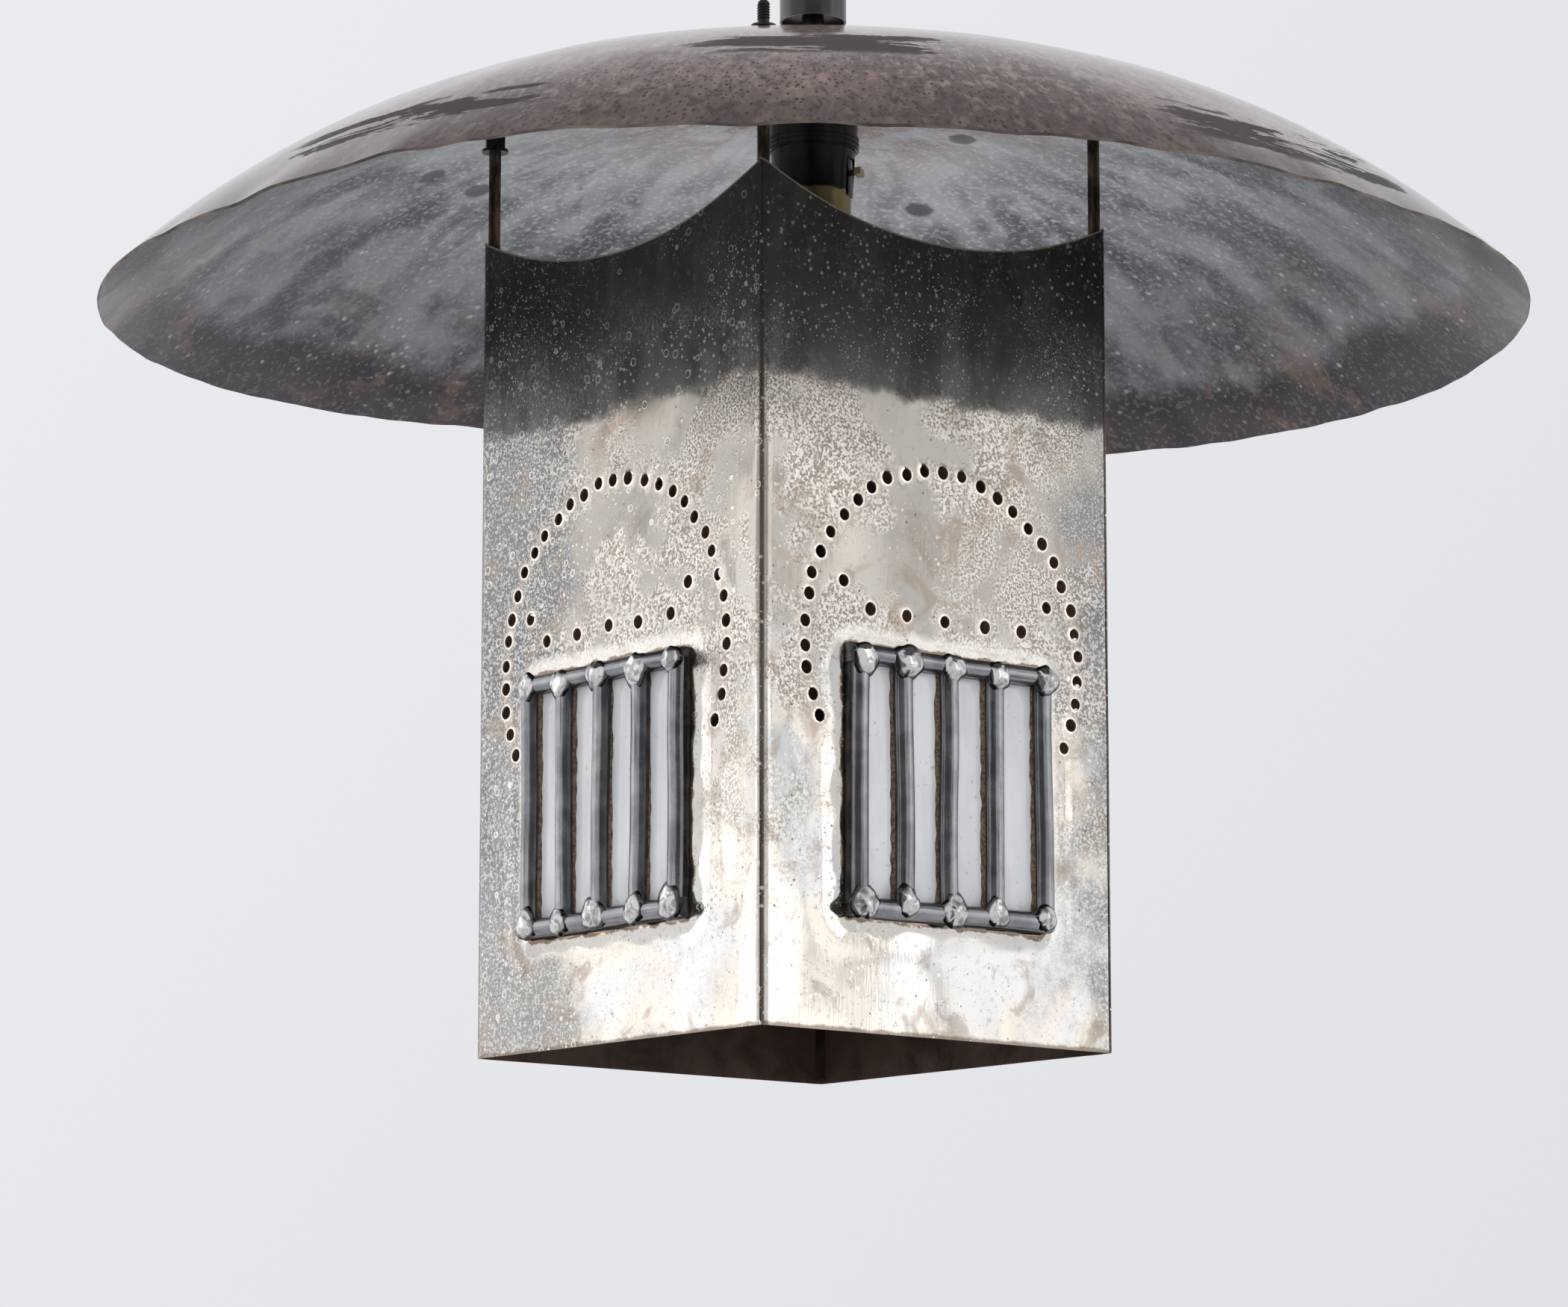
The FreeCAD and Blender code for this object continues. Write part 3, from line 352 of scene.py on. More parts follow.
def tinned_finish():
    """Tinned copper sheet, polished and tarnished: clouds of tint, a crust of fine specks, rings, pits, scratches."""
    kit = Finish("tinned_copper_outside")
    height = kit.calc("SUBTRACT", kit.axis("Z"), BODY_FOOT)
    window, punch, side = kit.mesh_float("window"), kit.mesh_float("punch"), kit.mesh_float("side")

    # Clouds of cream, grey blue and rose on the bright metal, paler towards the foot, and a drab grey higher up
    tint = kit.cloud(52, 2.0, 0.5, warp=0.7)
    tint_two = kit.cloud(34, 3.0, 0.5, kit.stretch((1.0, 1.0, 0.6)), 0.8)
    kit.base = kit.blend(tint, 0.40, 0.60, (0.60, 0.61, 0.63), (0.76, 0.70, 0.61))
    kit.lay((0.52, 0.532, 0.545), (tint_two, 0.55, 0.68))
    kit.lay((0.64, 0.565, 0.52), (tint_two, 0.44, 0.34))
    rise = kit.plus(height, kit.cloud(40, 3.0, 0.6), 0.16)
    pale_foot = kit.blend(tint, 0.42, 0.58, (0.85, 0.83, 0.79), (0.87, 0.80, 0.69))
    kit.lay(pale_foot, (rise, *PALE_FOOT_FADES, 0.0, 0.6))
    kit.lay((0.37, 0.345, 0.30), (rise, *DRAB_GREY_GROWS), 0.88)

    # A painted reflection of the shade's dark underside high on the body, with a crisp wavy edge
    reflected_dark = kit.span(kit.plus(height, kit.cloud(18, 3.0, 0.6), 0.018), *REFLECTION_EDGE)

    def by_reflection(clear, sooted):
        """One value on the clear metal and another in the painted reflection."""
        return kit.span(reflected_dark, 0.0, 1.0, clear, sooted)

    # The crust: where the tin is worn, a brown grey ground shows between bright flakes
    where = kit.cloud(44, 4.0, 0.6, warp=0.5)
    flakes = kit.cloud(1.15, 2.0, 0.6)
    crust = kit.times(kit.span(where, 0.44, 0.56), kit.span(rise, *CRUST_GROWS), by_reflection(1.0, 0.35))
    kit.lay(kit.blend(flakes, 0.42, 0.58, (0.24, 0.205, 0.17), (0.72, 0.685, 0.625)), crust, 0.88)

    # Painted shade: the metal darker towards the two corners at the left and right of the camera's view, more at the
    # left one; and brown stains
    east, north = kit.axis("X"), kit.axis("Y")
    spread = kit.calc("ABSOLUTE", kit.calc("SUBTRACT", kit.plus(east, north), BODY_CENTRE.x + BODY_CENTRE.y))
    spread = kit.plus(spread, kit.cloud(30, 4.0, 0.6), 0.12)
    spread = kit.plus(spread, kit.calc("SUBTRACT", east, north), 0.16)
    painted_side_shade = kit.blend(flakes, 0.49, 0.60, (0.125, 0.135, 0.150), (0.46, 0.45, 0.43))
    kit.lay(painted_side_shade, (spread, 0.128, 0.078), 0.75)
    kit.lay((0.33, 0.255, 0.19), (kit.cloud(26, 4.0, 0.6, warp=1.0), 0.54, 0.68), 0.6)

    # The painted reflection itself: black towards the top, with brown clouds and a few pale flakes above its edge
    reflected_colour = kit.blend(height, *REFLECTION_DEEPENS, (0.100, 0.101, 0.106), (0.017, 0.0175, 0.019))
    reflection_clouds = kit.cloud(14, 4.0, 0.6, kit.stretch((1.0, 1.0, 0.3)))
    reflected_colour = kit.blend(reflection_clouds, 0.45, 0.62, reflected_colour, (0.045, 0.042, 0.039))
    pale_flakes = kit.times(kit.span(flakes, 0.50, 0.60), kit.span(where, 0.46, 0.58), kit.span(height, 0.330, 0.285, 0.0, 0.6))
    kit.lay(kit.mix(pale_flakes, reflected_colour, (0.22, 0.215, 0.20)), reflected_dark, 0.93)

    # Worn upright edges, the bare top and bottom edges, and a painted highlight round the window and the punched holes
    kit.lay((0.50, 0.38, 0.27), (kit.plus(side, kit.cloud(9, 4.0), 0.10), 0.16, 0.10), by_reflection(0.7, 0.15))
    kit.lay((0.05, 0.042, 0.038), (side, 0.09, 0.055), 0.88)
    crest = kit.plus(kit.mesh_float("crest"), kit.cloud(5, 4.0), 0.04)
    kit.lay((0.42, 0.34, 0.26), (crest, 0.062, 0.048), 0.8)
    kit.lay((0.20, 0.14, 0.10), (kit.plus(height, kit.cloud(7, 4.0), 0.003), 0.0036, 0.0022), 0.8)
    # Painted highlight round the window, with a brown line right beside the opening
    halo = kit.plus(window, kit.cloud(8, 4.0), 0.30)
    kit.lay((0.80, 0.765, 0.70), (halo, 0.62, 0.36), 0.75)
    kit.lay((0.22, 0.14, 0.09), (halo, 0.235, 0.195), 0.9)
    # Painted highlight round the punched holes, over a brown ring
    kit.lay((0.50, 0.41, 0.33), (punch, 0.62, 0.40), 0.5)
    kit.lay((0.86, 0.83, 0.78), (kit.plus(punch, kit.cloud(6, 3.0), 0.4), 0.50, 0.34), 0.7)

    # Bright splashes and rings, dark pits, grime, and long scratches down the sheet
    large = kit.times(kit.spots(3.1, 0.9, 0.55, soft=0.15, seed=0.11), by_reflection(1.0, 0.45))
    small = kit.spots(1.5, 0.36, 0.6, seed=0.19)
    speck = kit.times(kit.calc("MAXIMUM", large, small), kit.span(kit.cloud(48, 3.0), 0.38, 0.54))
    kit.lay((0.84, 0.81, 0.75), speck, by_reflection(0.85, 0.8))
    edge, used = kit.cells(7.5, 2.0, 0.42, 0.37)
    ring = kit.calc("SUBTRACT", kit.span(edge, 1.10, 0.98), kit.span(edge, 0.86, 0.66))
    ring = kit.calc("MULTIPLY", kit.times(ring, used), by_reflection(0.7, 0.4), clamp=True)
    kit.lay((0.80, 0.77, 0.70), ring)
    pit = kit.spots(5.0, 0.5, 0.6, seed=0.71)
    kit.lay((0.15, 0.10, 0.075), pit, 0.8)
    kit.lay((0.30, 0.24, 0.19), (kit.cloud(2.6, 4.0, 0.65), 0.58, 0.66), 0.35)
    edge, used = kit.cells(22.0, 1.0, 0.40, 0.93, kit.stretch((1.0, 1.0, 0.07)))
    kit.lay((0.30, 0.25, 0.21), kit.times(kit.span(edge, 1.25, 0.75), used), 0.55)
    kit.lay((0.92, 0.90, 0.86), kit.times(kit.span(edge, 0.75, 0.35), used), 0.8)

    rough = kit.span(kit.cloud(34, 3.0), *CLOUDY, 0.06, 0.15)
    for mask, gain in ((crust, 0.15), (speck, 0.3), (reflected_dark, 0.16)):
        rough = kit.plus(rough, mask, gain)
    brush = kit.cloud(1.6, 3.0, 0.6, kit.stretch((1.0, 1.0, 0.12)))
    relief = kit.times(flakes, crust)
    for mask, gain in ((brush, 0.3), (pit, -2.0), (speck, 1.2), (ring, 1.2)):
        relief = kit.plus(relief, mask, gain)
    return kit.close(by_reflection(0.96, 0.35), rough, relief, 0.04)


def copper_inside_finish():
    """The bare, browned copper inside the body, darker towards the foot."""
    kit = Finish("copper_inside")
    where = kit.cloud(22, 4.0, 0.6, warp=0.5)
    kit.base = kit.blend(where, *CLOUDY, (0.15, 0.085, 0.058), (0.46, 0.26, 0.17))
    kit.lay((0.40, 0.27, 0.19), (kit.cloud(2.0, 3.0), 0.56, 0.68))
    height = kit.calc("SUBTRACT", kit.axis("Z"), BODY_FOOT)
    kit.lay((0.050, 0.034, 0.028), (height, 0.13, 0.04, 0.0, 0.88))
    rough = kit.span(where, *CLOUDY, 0.28, 0.48)
    return kit.close(0.35, rough, kit.cloud(1.2, 3.0), 0.03)


def shade_outside_finish():
    """The shade's outside: browned copper under wax, with a fine mottle of dark flecks."""
    kit = ShadeFinish("shade_outside")
    follow = kit.polar(0.27, 0.62)
    mottle = kit.cloud(4.4, 3.0, 0.6, follow, 0.5)
    kit.base = kit.blend(kit.cloud(80, 3.0), *CLOUDY, (0.130, 0.092, 0.083), (0.215, 0.158, 0.142))
    kit.lay((0.29, 0.215, 0.19), (mottle, 0.50, 0.66))
    kit.lay((0.06, 0.042, 0.04), (mottle, 0.46, 0.36), 0.7)
    fleck = kit.spots(1.9, 0.8, 0.8, soft=0.6, seed=0.21, vector=follow)
    kit.lay((0.035, 0.022, 0.021), fleck, kit.span(kit.cloud(45, 3.0, 0.6), 0.36, 0.60, 0.75, 1.0))

    # Painted dark reflections on the shoulders and in front of the tube
    reflection_noise = kit.cloud(240, 5.0, 0.65, kit.polar(1.0, 22.0), 0.5)
    reflection_mask = 0.0
    for direction, near, far, closeness in DARK_REFLECTIONS:
        facing = kit.vector("DOT_PRODUCT", kit.outward, direction, "Value")
        where = kit.times(
            kit.span(facing, closeness, closeness + 0.035),
            kit.span(kit.radius, near - 0.01, near),
            kit.span(kit.radius, far + 0.01, far),
        )
        streak = kit.span(kit.plus(reflection_noise, where, 0.145), 0.61, 0.64)
        reflection_mask = kit.calc("MAXIMUM", reflection_mask, kit.times(streak, where))
    kit.lay((0.035, 0.023, 0.021), reflection_mask, 0.92)
    kit.lay((0.060, 0.045, 0.042), (kit.plus(kit.radius, kit.cloud(30, 3.0), 0.03), 0.278, 0.318), 0.6)
    rough = kit.span(reflection_mask, 0.0, 1.0, 0.11, 0.60)
    return kit.close(0.0, rough, kit.cloud(1.4, 3.0), 0.012)


def shade_inside_finish():
    """The shade's underside: tinned, softly clouded along its curve, with pale specks, dark marks and painted
    reflection.
    """
    kit = ShadeFinish("shade_inside")
    follow = kit.polar(0.16, 0.35)
    streak = kit.cloud(15, 2.0, 0.5, follow, 0.2)
    wide = kit.cloud(55, 4.0, 0.6, warp=0.6)
    fine = kit.cloud(3.4, 3.0, 0.6)
    kit.base = kit.blend(streak, 0.32, 0.68, (0.105, 0.108, 0.115), (0.37, 0.375, 0.38))
    kit.lay((0.42, 0.42, 0.42), (wide, 0.50, 0.66), 0.7)
    kit.lay((0.11, 0.112, 0.118), (wide, 0.47, 0.36), 0.75)
    kit.lay((0.46, 0.455, 0.45), (fine, 0.52, 0.64), 0.35)
    # Painted reflection: paler near the hub and darker further out
    kit.lay((0.70, 0.70, 0.70), (kit.radius, 0.19, 0.06), 0.7)
    kit.lay((0.06, 0.06, 0.065), (kit.radius, 0.15, 0.26, 0.0, 0.4))

    # A painted dark reflection, brown patches and heat towards the rim, and a rosy hub with frost around it
    ragged = kit.plus(kit.radius, kit.cloud(30, 4.0, 0.6, follow), 0.05)
    kit.lay((0.05, 0.045, 0.047), (ragged, 0.298, 0.310), 0.88)
    patch = kit.span(kit.cloud(38, 4.0, 0.6, warp=0.8), 0.53, 0.64)
    kit.lay((0.30, 0.19, 0.14), kit.times(patch, kit.span(kit.radius, 0.215, 0.295)), 0.4)
    kit.lay((0.15, 0.12, 0.125), (kit.plus(kit.radius, kit.cloud(22, 4.0), 0.04), 0.300, 0.322), 0.35)
    rosy = kit.span(kit.cloud(20, 4.0, 0.6, warp=0.8), 0.42, 0.56)
    kit.lay((0.40, 0.27, 0.22), kit.times(rosy, kit.span(kit.radius, 0.15, 0.05)), 0.8)
    frost = kit.span(kit.cloud(2.6, 2.0, 0.5), 0.54, 0.64)
    kit.lay((0.86, 0.85, 0.84), frost, kit.span(kit.radius, 0.26, 0.16, 0.08, 0.28))

    for place in UNDERSIDE_MARKS:
        away = kit.plus(kit.vector("DISTANCE", kit.coords, place, "Value"), fine, 0.004)
        kit.lay((0.05, 0.05, 0.055), (away, 0.0095, 0.0070), 0.8)
    speck = kit.times(kit.spots(5.2, 1.25, 0.6, soft=0.6, seed=0.53), kit.span(kit.cloud(40, 2.0), 0.38, 0.56))
    kit.lay((0.88, 0.87, 0.85), speck, kit.span(kit.radius, 0.285, 0.305, 0.5, 0.22))
    rough = kit.plus(kit.span(streak, *CLOUDY, 0.28, 0.20), speck, 0.2)
    relief = kit.plus(kit.cloud(1.3, 2.0), streak, 5.0)
    return kit.close(0.95, rough, relief, 0.03)


def lead_finish(name, drawn):
    """Lead came: dull blue grey, with fine lines the way it was drawn. The scale is small along the came."""
    kit = Finish(name)
    clouds = kit.cloud(13, 3.0)
    lines = kit.cloud(1.1, 4.0, 0.65, kit.stretch(drawn))
    kit.base = kit.blend(clouds, *CLOUDY, (0.24, 0.245, 0.255), (0.38, 0.385, 0.395))
    kit.lay((0.10, 0.10, 0.105), (lines, 0.46, 0.36), 0.6)
    return kit.close(0.95, kit.span(clouds, *CLOUDY, 0.20, 0.30), lines, 0.05)


def lead_flank_finish():
    """The flanks of the cames, glossy and near black: dark lead, and painted shade along them."""
    kit = Finish("lead_flank")
    # Painted shade with brown clouds on the dark lead
    kit.base = kit.blend(kit.cloud(7, 4.0), 0.44, 0.62, (0.010, 0.010, 0.011), (0.05, 0.036, 0.027))
    return kit.close(0.0, 0.30, kit.cloud(2.0, 3.0), 0.05)


def solder_finish():
    """Bright solder, a little pitted, with painted shade in the crease round each joint."""
    kit = Finish("solder")
    clouds = kit.cloud(5.0, 3.0, 0.55, warp=0.8)
    kit.base = kit.blend(clouds, 0.38, 0.52, (0.34, 0.34, 0.34), (0.72, 0.71, 0.69))
    # Painted shade where the solder meets the came
    kit.lay((0.045, 0.04, 0.036), (kit.mesh_float("crown"), 0.66, 0.50, 0.0, 0.9))
    kit.lay((0.10, 0.09, 0.08), kit.spots(3.2, 0.35, 0.4, seed=0.47), 0.85)
    rough = kit.span(clouds, 0.35, 0.6, 0.24, 0.12)
    return kit.close(0.97, rough, kit.cloud(4.5, 2.0, 0.5), 0.03)


def opal_finish():
    """Milk-white glass, dusty in places."""
    kit = Finish("opal_glass")
    haze = kit.cloud(14, 3.0, 0.5, kit.stretch((1.0, 1.0, 0.35)))
    kit.base = kit.blend(haze, *CLOUDY, (0.84, 0.845, 0.86), (0.95, 0.95, 0.95))
    kit.lay((0.66, 0.60, 0.53), (kit.cloud(3.0, 4.0), 0.64, 0.75))
    return kit.close(0.0, 0.12, IOR=1.5, Coat_Weight=0.3, Coat_Roughness=0.05)


def cement_finish():
    kit = Finish("glazing_cement")
    crumb = kit.cloud(1.6, 4.0, 0.65)
    kit.base = kit.blend(crumb, *CLOUDY, (0.07, 0.042, 0.028), (0.24, 0.155, 0.10))
    return kit.close(0.0, 0.6, crumb, 0.2)


def rod_finish():
    """Copper-washed steel rod, brown and black, bright where it is rubbed."""
    kit = Finish("rod_metal")
    along = kit.cloud(5, 4.0, 0.6, kit.stretch((1.0, 1.0, 0.25)))
    kit.base = kit.blend(along, 0.38, 0.6, (0.045, 0.035, 0.028), (0.24, 0.17, 0.115))
    kit.lay((0.03, 0.03, 0.03), (kit.axis("Z"), *ROD_BLACK))
    rough = kit.span(along, *CLOUDY, 0.42, 0.26)
    return kit.close(0.85, rough, kit.cloud(1.0, 3.0), 0.05)


tinned = tinned_finish()
copper_inside = copper_inside_finish()
sheet_edge = plain_metal("sheet_edge", (0.50, 0.38, 0.26), 0.45, 0.3, 1.5, 0.8)
shade_outside = shade_outside_finish()
shade_inside = shade_inside_finish()
rim_metal = plain_metal("rim_metal", (0.22, 0.17, 0.135), 0.5, 0.35, 6.0, 0.0)
lead = lead_finish("lead_bar", (1.0, 1.0, 0.03))
lead_rail = lead_finish("lead_rail", (0.03, 0.03, 1.0))
lead_flank = lead_flank_finish()
solder = solder_finish()
opal = opal_finish()
cement = cement_finish()
seam = plain_metal("seam_solder", (0.10, 0.075, 0.058), 0.5, 0.3, 3.0)
rod_metal = rod_finish()
stud_metal = plain_metal("stud_metal", (0.055, 0.055, 0.055), 0.32, 0.3, 3.0, 0.9)
dark_steel = plain_metal("dark_steel", (0.07, 0.068, 0.065), 0.35, 0.25, 2.0, 0.9)

SLOT_FINISHES = {
    "shade_copper": shade_outside,
    "tinned_copper": tinned,
    "solder": solder,
    "lead_came": lead,
    "opal_glass": opal,
    "glazing_cement": cement,
    "plated_steel": plain_metal("zinc_plate", (0.42, 0.41, 0.38), 0.34, 0.25, 2.0),
    "black_tube": dark_finish("black_paint", (0.012, 0.012, 0.012), 0.30, 0.3),
    "socket_brass": plain_metal("lacquered_brass", (0.52, 0.41, 0.20), 0.30, 0.06, 40.0, 1.0, 0.004),
    "black_shell": dark_finish("black_phenolic", (0.006, 0.006, 0.006), 0.20),
    "liner_paper": dark_finish("waxed_board", (0.22, 0.16, 0.10), 0.6),
    "switch_block": dark_finish("switch_moulding", (0.30, 0.28, 0.25), 0.45),
}
for entry in frame["record"]["subparts"]:
    piece = nodes[entry["node"]]
    piece.data.materials.clear()
    piece.data.materials.append(SLOT_FINISHES[entry["material_slot"]])


# The shade

SHADE_RISE = 101.5 * MM
SHADE_POWER = 2.79
SHADE_WALL = 1.3 * MM
# How far the rim stands above its level, in millimetres, every 10 degrees from +X
RIM_LIFT_MM = (
    -4.0, -3.2, -2.3, -1.4, -0.2, 2.2, 5.4, 8.4, 9.3, 6.8, 4.9, 3.2,
    2.1, 1.3, 0.4, 0.0, 0.0, 0.0, 0.6, 4.0, 7.0, 7.8, 7.0, 5.8,
    5.1, 4.8, 4.0, 1.9, 0.0, -0.2, -0.2, -0.4, -1.2, -2.4, -3.4, -3.7,
)
RIM_NICK = 1.1 * MM
# Dents left by the hammer: their width and depth, and where their noise starts
HAMMER_DENTS = ((42 * MM, 0.50 * MM, (0, 0, 0)), (17 * MM, 0.13 * MM, (9, 2, 4)))
SHADE_RINGS = 84
SHADE_STEPS = 300
APEX = shade_high.z
RIM_RADIUS = shade_high.x
HUB_RADIUS = 6 * MM


def shade_height(radius):
    """The outside of the shade over its radius, before the hammer."""
    return APEX - SHADE_RISE * (radius / RIM_RADIUS) ** SHADE_POWER


def rim_lift(angle):
    """The lift of the bent rim at an angle, run smoothly through the list."""
    turns = (angle / (2 * math.pi)) % 1 * len(RIM_LIFT_MM)
    first = int(turns) % len(RIM_LIFT_MM)
    share = turns - int(turns)
    share = share * share * (3 - 2 * share)
    following = RIM_LIFT_MM[(first + 1) % len(RIM_LIFT_MM)]
    return (RIM_LIFT_MM[first] * (1 - share) + following * share) * MM


def make_shade():
    """A hammered dome: a profile spun about the pipe, dented and bent at the rim, then given its wall."""
    bm = bmesh.new()
    previous = None
    for number in range(SHADE_RINGS + 1):
        radius = HUB_RADIUS + (RIM_RADIUS - HUB_RADIUS) * number / SHADE_RINGS
        vert = bm.verts.new((radius, 0, shade_height(radius)))
        if previous:
            bm.edges.new((previous, vert))
        previous = vert
    bmesh.ops.spin(
        bm, geom=bm.verts[:] + bm.edges[:], cent=(0, 0, 0), axis=(0, 0, 1), angle=2 * math.pi,
        steps=SHADE_STEPS, use_merge=True,
    )
    bmesh.ops.remove_doubles(bm, verts=bm.verts, dist=1e-6)
    face_outwards(bm)
    if sum(face.normal.z for face in bm.faces) < 0:
        bmesh.ops.reverse_faces(bm, faces=bm.faces)
    for vert in bm.verts:
        place = vert.co.copy()
        angle = math.atan2(place.y, place.x)
        reach = (math.hypot(place.x, place.y) / RIM_RADIUS) ** 4
        dent = sum(noise.noise(place / wide + Vector(start)) * deep for wide, deep, start in HAMMER_DENTS)
        nick = noise.noise(Vector((math.cos(angle) * 15, math.sin(angle) * 15, 8.1)))
        vert.co.z += dent + reach * rim_lift(angle) + reach ** 7 * nick * RIM_NICK
    bmesh.ops.solidify(bm, geom=bm.faces[:], thickness=SHADE_WALL)
    face_outwards(bm)
    for face in bm.faces:
        centre = face.calc_center_median()
        radius = math.hypot(centre.x, centre.y)
        outward = (face.normal.x * centre.x + face.normal.y * centre.y) / radius
        if outward > 0.2 and face.normal.z < 0 and radius > RIM_RADIUS * 0.98:
            face.material_index = 2
        else:
            face.material_index = 0 if face.normal.z > 0 else 1
    dressing = [shade_outside, shade_inside, rim_metal]
    finish_piece(as_mesh(bm), "hammered_shade", dressing, "shade_dome", 50)


make_shade()


# The body

PUNCH_RADIUS = 2.7 * MM
ARCH_HOLES = 31
ARCH_RADIUS = 74.5 * MM
ARCH_LEVEL = 160 * MM
ARCH_START = math.radians(-27)
ARCH_STEP = math.radians(7.8)
ROW_HOLES = 5
ROW_LEVEL = 172.8 * MM
ROW_PITCH = 20.8 * MM
ROW_END_LEVEL = 184 * MM
SCALLOP = 22 * MM
SCALLOP_RADIUS = (BODY_HALF ** 2 + SCALLOP ** 2) / (2 * SCALLOP)
SCALLOP_LEVEL = BODY_HEIGHT - SCALLOP + SCALLOP_RADIUS
GRID = 1.9 * MM
OPENING_CORNER = 4 * MM
OPENING_GAP = 0.5 * MM
OPENING_HALF = WINDOW_HALF + OPENING_GAP
OPENING_RISE = WINDOW_RISE + OPENING_GAP
CUTTER_DEPTH = 20 * MM
# Swells of the sheet: their length and height, and where their noise starts
SHEET_SWELLS = ((75 * MM, 0.9 * MM, 0), (26 * MM, 0.22 * MM, 5))
# The distance over which wear and painted highlights are written on the mesh, from a window or an edge and from a hole
WEAR_AND_HIGHLIGHT_REACH = 20 * MM
PUNCH_REACH = 4 * MM

# How each face was laid out by hand: middle of the arch, of the row, and the two raised end holes
HAND_LAYOUT = {
    "front": (2.0, 3.0, -52.1, 58.8),
    "left": (-2.0, -5.6, -58.3, 48.1),
    "right": (-1.0, 1.5, -53.0, 55.5),
    "back": (1.5, -2.0, -55.0, 53.0),
}


def punched_holes(face, rng):
    """Places of the punched holes of a face as (across, level, radius)."""
    arch_middle, row_middle, end_one, end_two = (value * MM for value in HAND_LAYOUT[face])
    holes = []
    for number in range(ARCH_HOLES):
        angle = ARCH_START + number * ARCH_STEP + rng.uniform(-0.010, 0.010)
        reach = ARCH_RADIUS + rng.uniform(-0.9, 0.9) * MM
        holes.append((arch_middle + reach * math.cos(angle), ARCH_LEVEL + reach * math.sin(angle)))
    for number in range(ROW_HOLES):
        across = row_middle + (number - ROW_HOLES // 2) * ROW_PITCH + rng.uniform(-0.8, 0.8) * MM
        holes.append((across, ROW_LEVEL + rng.uniform(-0.7, 0.7) * MM))
    for across in (end_one, end_two):
        holes.append((across, ROW_END_LEVEL + rng.uniform(-1.0, 1.0) * MM))
    return [(across, level, PUNCH_RADIUS * rng.uniform(0.93, 1.06)) for across, level in holes]


def opening_distance(face, across, level):
    """Distance outside the rounded window opening, negative inside it."""
    over_x = np.abs(across - WINDOW_SHIFT[face]) - (OPENING_HALF - OPENING_CORNER)
    over_z = np.abs(level - WINDOW_LEVEL) - (OPENING_RISE - OPENING_CORNER)
    outside = np.hypot(np.maximum(over_x, 0), np.maximum(over_z, 0))
    return outside + np.minimum(np.maximum(over_x, over_z), 0) - OPENING_CORNER


def panel_cutter(face, holes):
    """Everything that is cut out of a panel, as one mesh in the panel's own frame."""
    bm = bmesh.new()
    block(
        bm,
        (-OPENING_HALF, -BODY_HALF - CUTTER_DEPTH, WINDOW_LEVEL - OPENING_RISE),
        (OPENING_HALF, -BODY_HALF + CUTTER_DEPTH, WINDOW_LEVEL + OPENING_RISE),
    )
    bm.transform(Matrix.Translation((WINDOW_SHIFT[face], 0, 0)))
    corners = [edge for edge in bm.edges if abs(edge.verts[0].co.y - edge.verts[1].co.y) > CUTTER_DEPTH]
    bmesh.ops.bevel(bm, geom=corners, offset=OPENING_CORNER, segments=5, profile=0.5, affect="EDGES", material=-1)
    rounds = [(across, level, radius, 20) for across, level, radius in holes]
    for across, level, radius, segments in rounds + [(0, SCALLOP_LEVEL, SCALLOP_RADIUS, 360)]:
        place = Matrix.Translation((across, -BODY_HALF, level)) @ Matrix.Rotation(math.pi / 2, 4, "X")
        bmesh.ops.create_cone(
            bm, cap_ends=True, segments=segments, radius1=radius, radius2=radius, depth=2 * CUTTER_DEPTH, matrix=place,
        )
    face_outwards(bm)
    return as_mesh(bm)


def panel_blank():
    """The flat sheet of a panel, finely divided."""
    bm = bmesh.new()
    width = 2 * BODY_HALF - SHEET
    upright = Matrix.Rotation(math.pi / 2, 4, "X")
    bmesh.ops.create_grid(
        bm, x_segments=round(width / GRID), y_segments=round(BODY_HEIGHT / GRID), size=0.5, matrix=upright,
    )
    span_x = max(vert.co.x for vert in bm.verts) * 2
    span_z = max(vert.co.z for vert in bm.verts) * 2
    bmesh.ops.scale(bm, vec=(width / span_x, 1, BODY_HEIGHT / span_z), verts=bm.verts)
    bm.transform(Matrix.Translation((-SHEET / 2, -BODY_HALF, BODY_HEIGHT / 2)))
    face_outwards(bm)
    if bm.faces[:][0].normal.y > 0:
        bmesh.ops.reverse_faces(bm, faces=bm.faces)
    bmesh.ops.solidify(bm, geom=bm.faces[:], thickness=SHEET)
    face_outwards(bm)
    return as_mesh(bm)


def cut_out(blank, cutter):
    """The blank with the cutter taken away."""
    sheet = add_object("blank", blank)
    tool = add_object("cutter", cutter)
    modifier = sheet.modifiers.new("punch", "BOOLEAN")
    modifier.operation = "DIFFERENCE"
    modifier.solver = "MANIFOLD"
    modifier.object = tool
    shaped = sheet.evaluated_get(bpy.context.evaluated_depsgraph_get())
    mesh = bpy.data.meshes.new_from_object(shaped)
    for thing in (sheet, tool):
        bpy.data.objects.remove(thing)
    return mesh


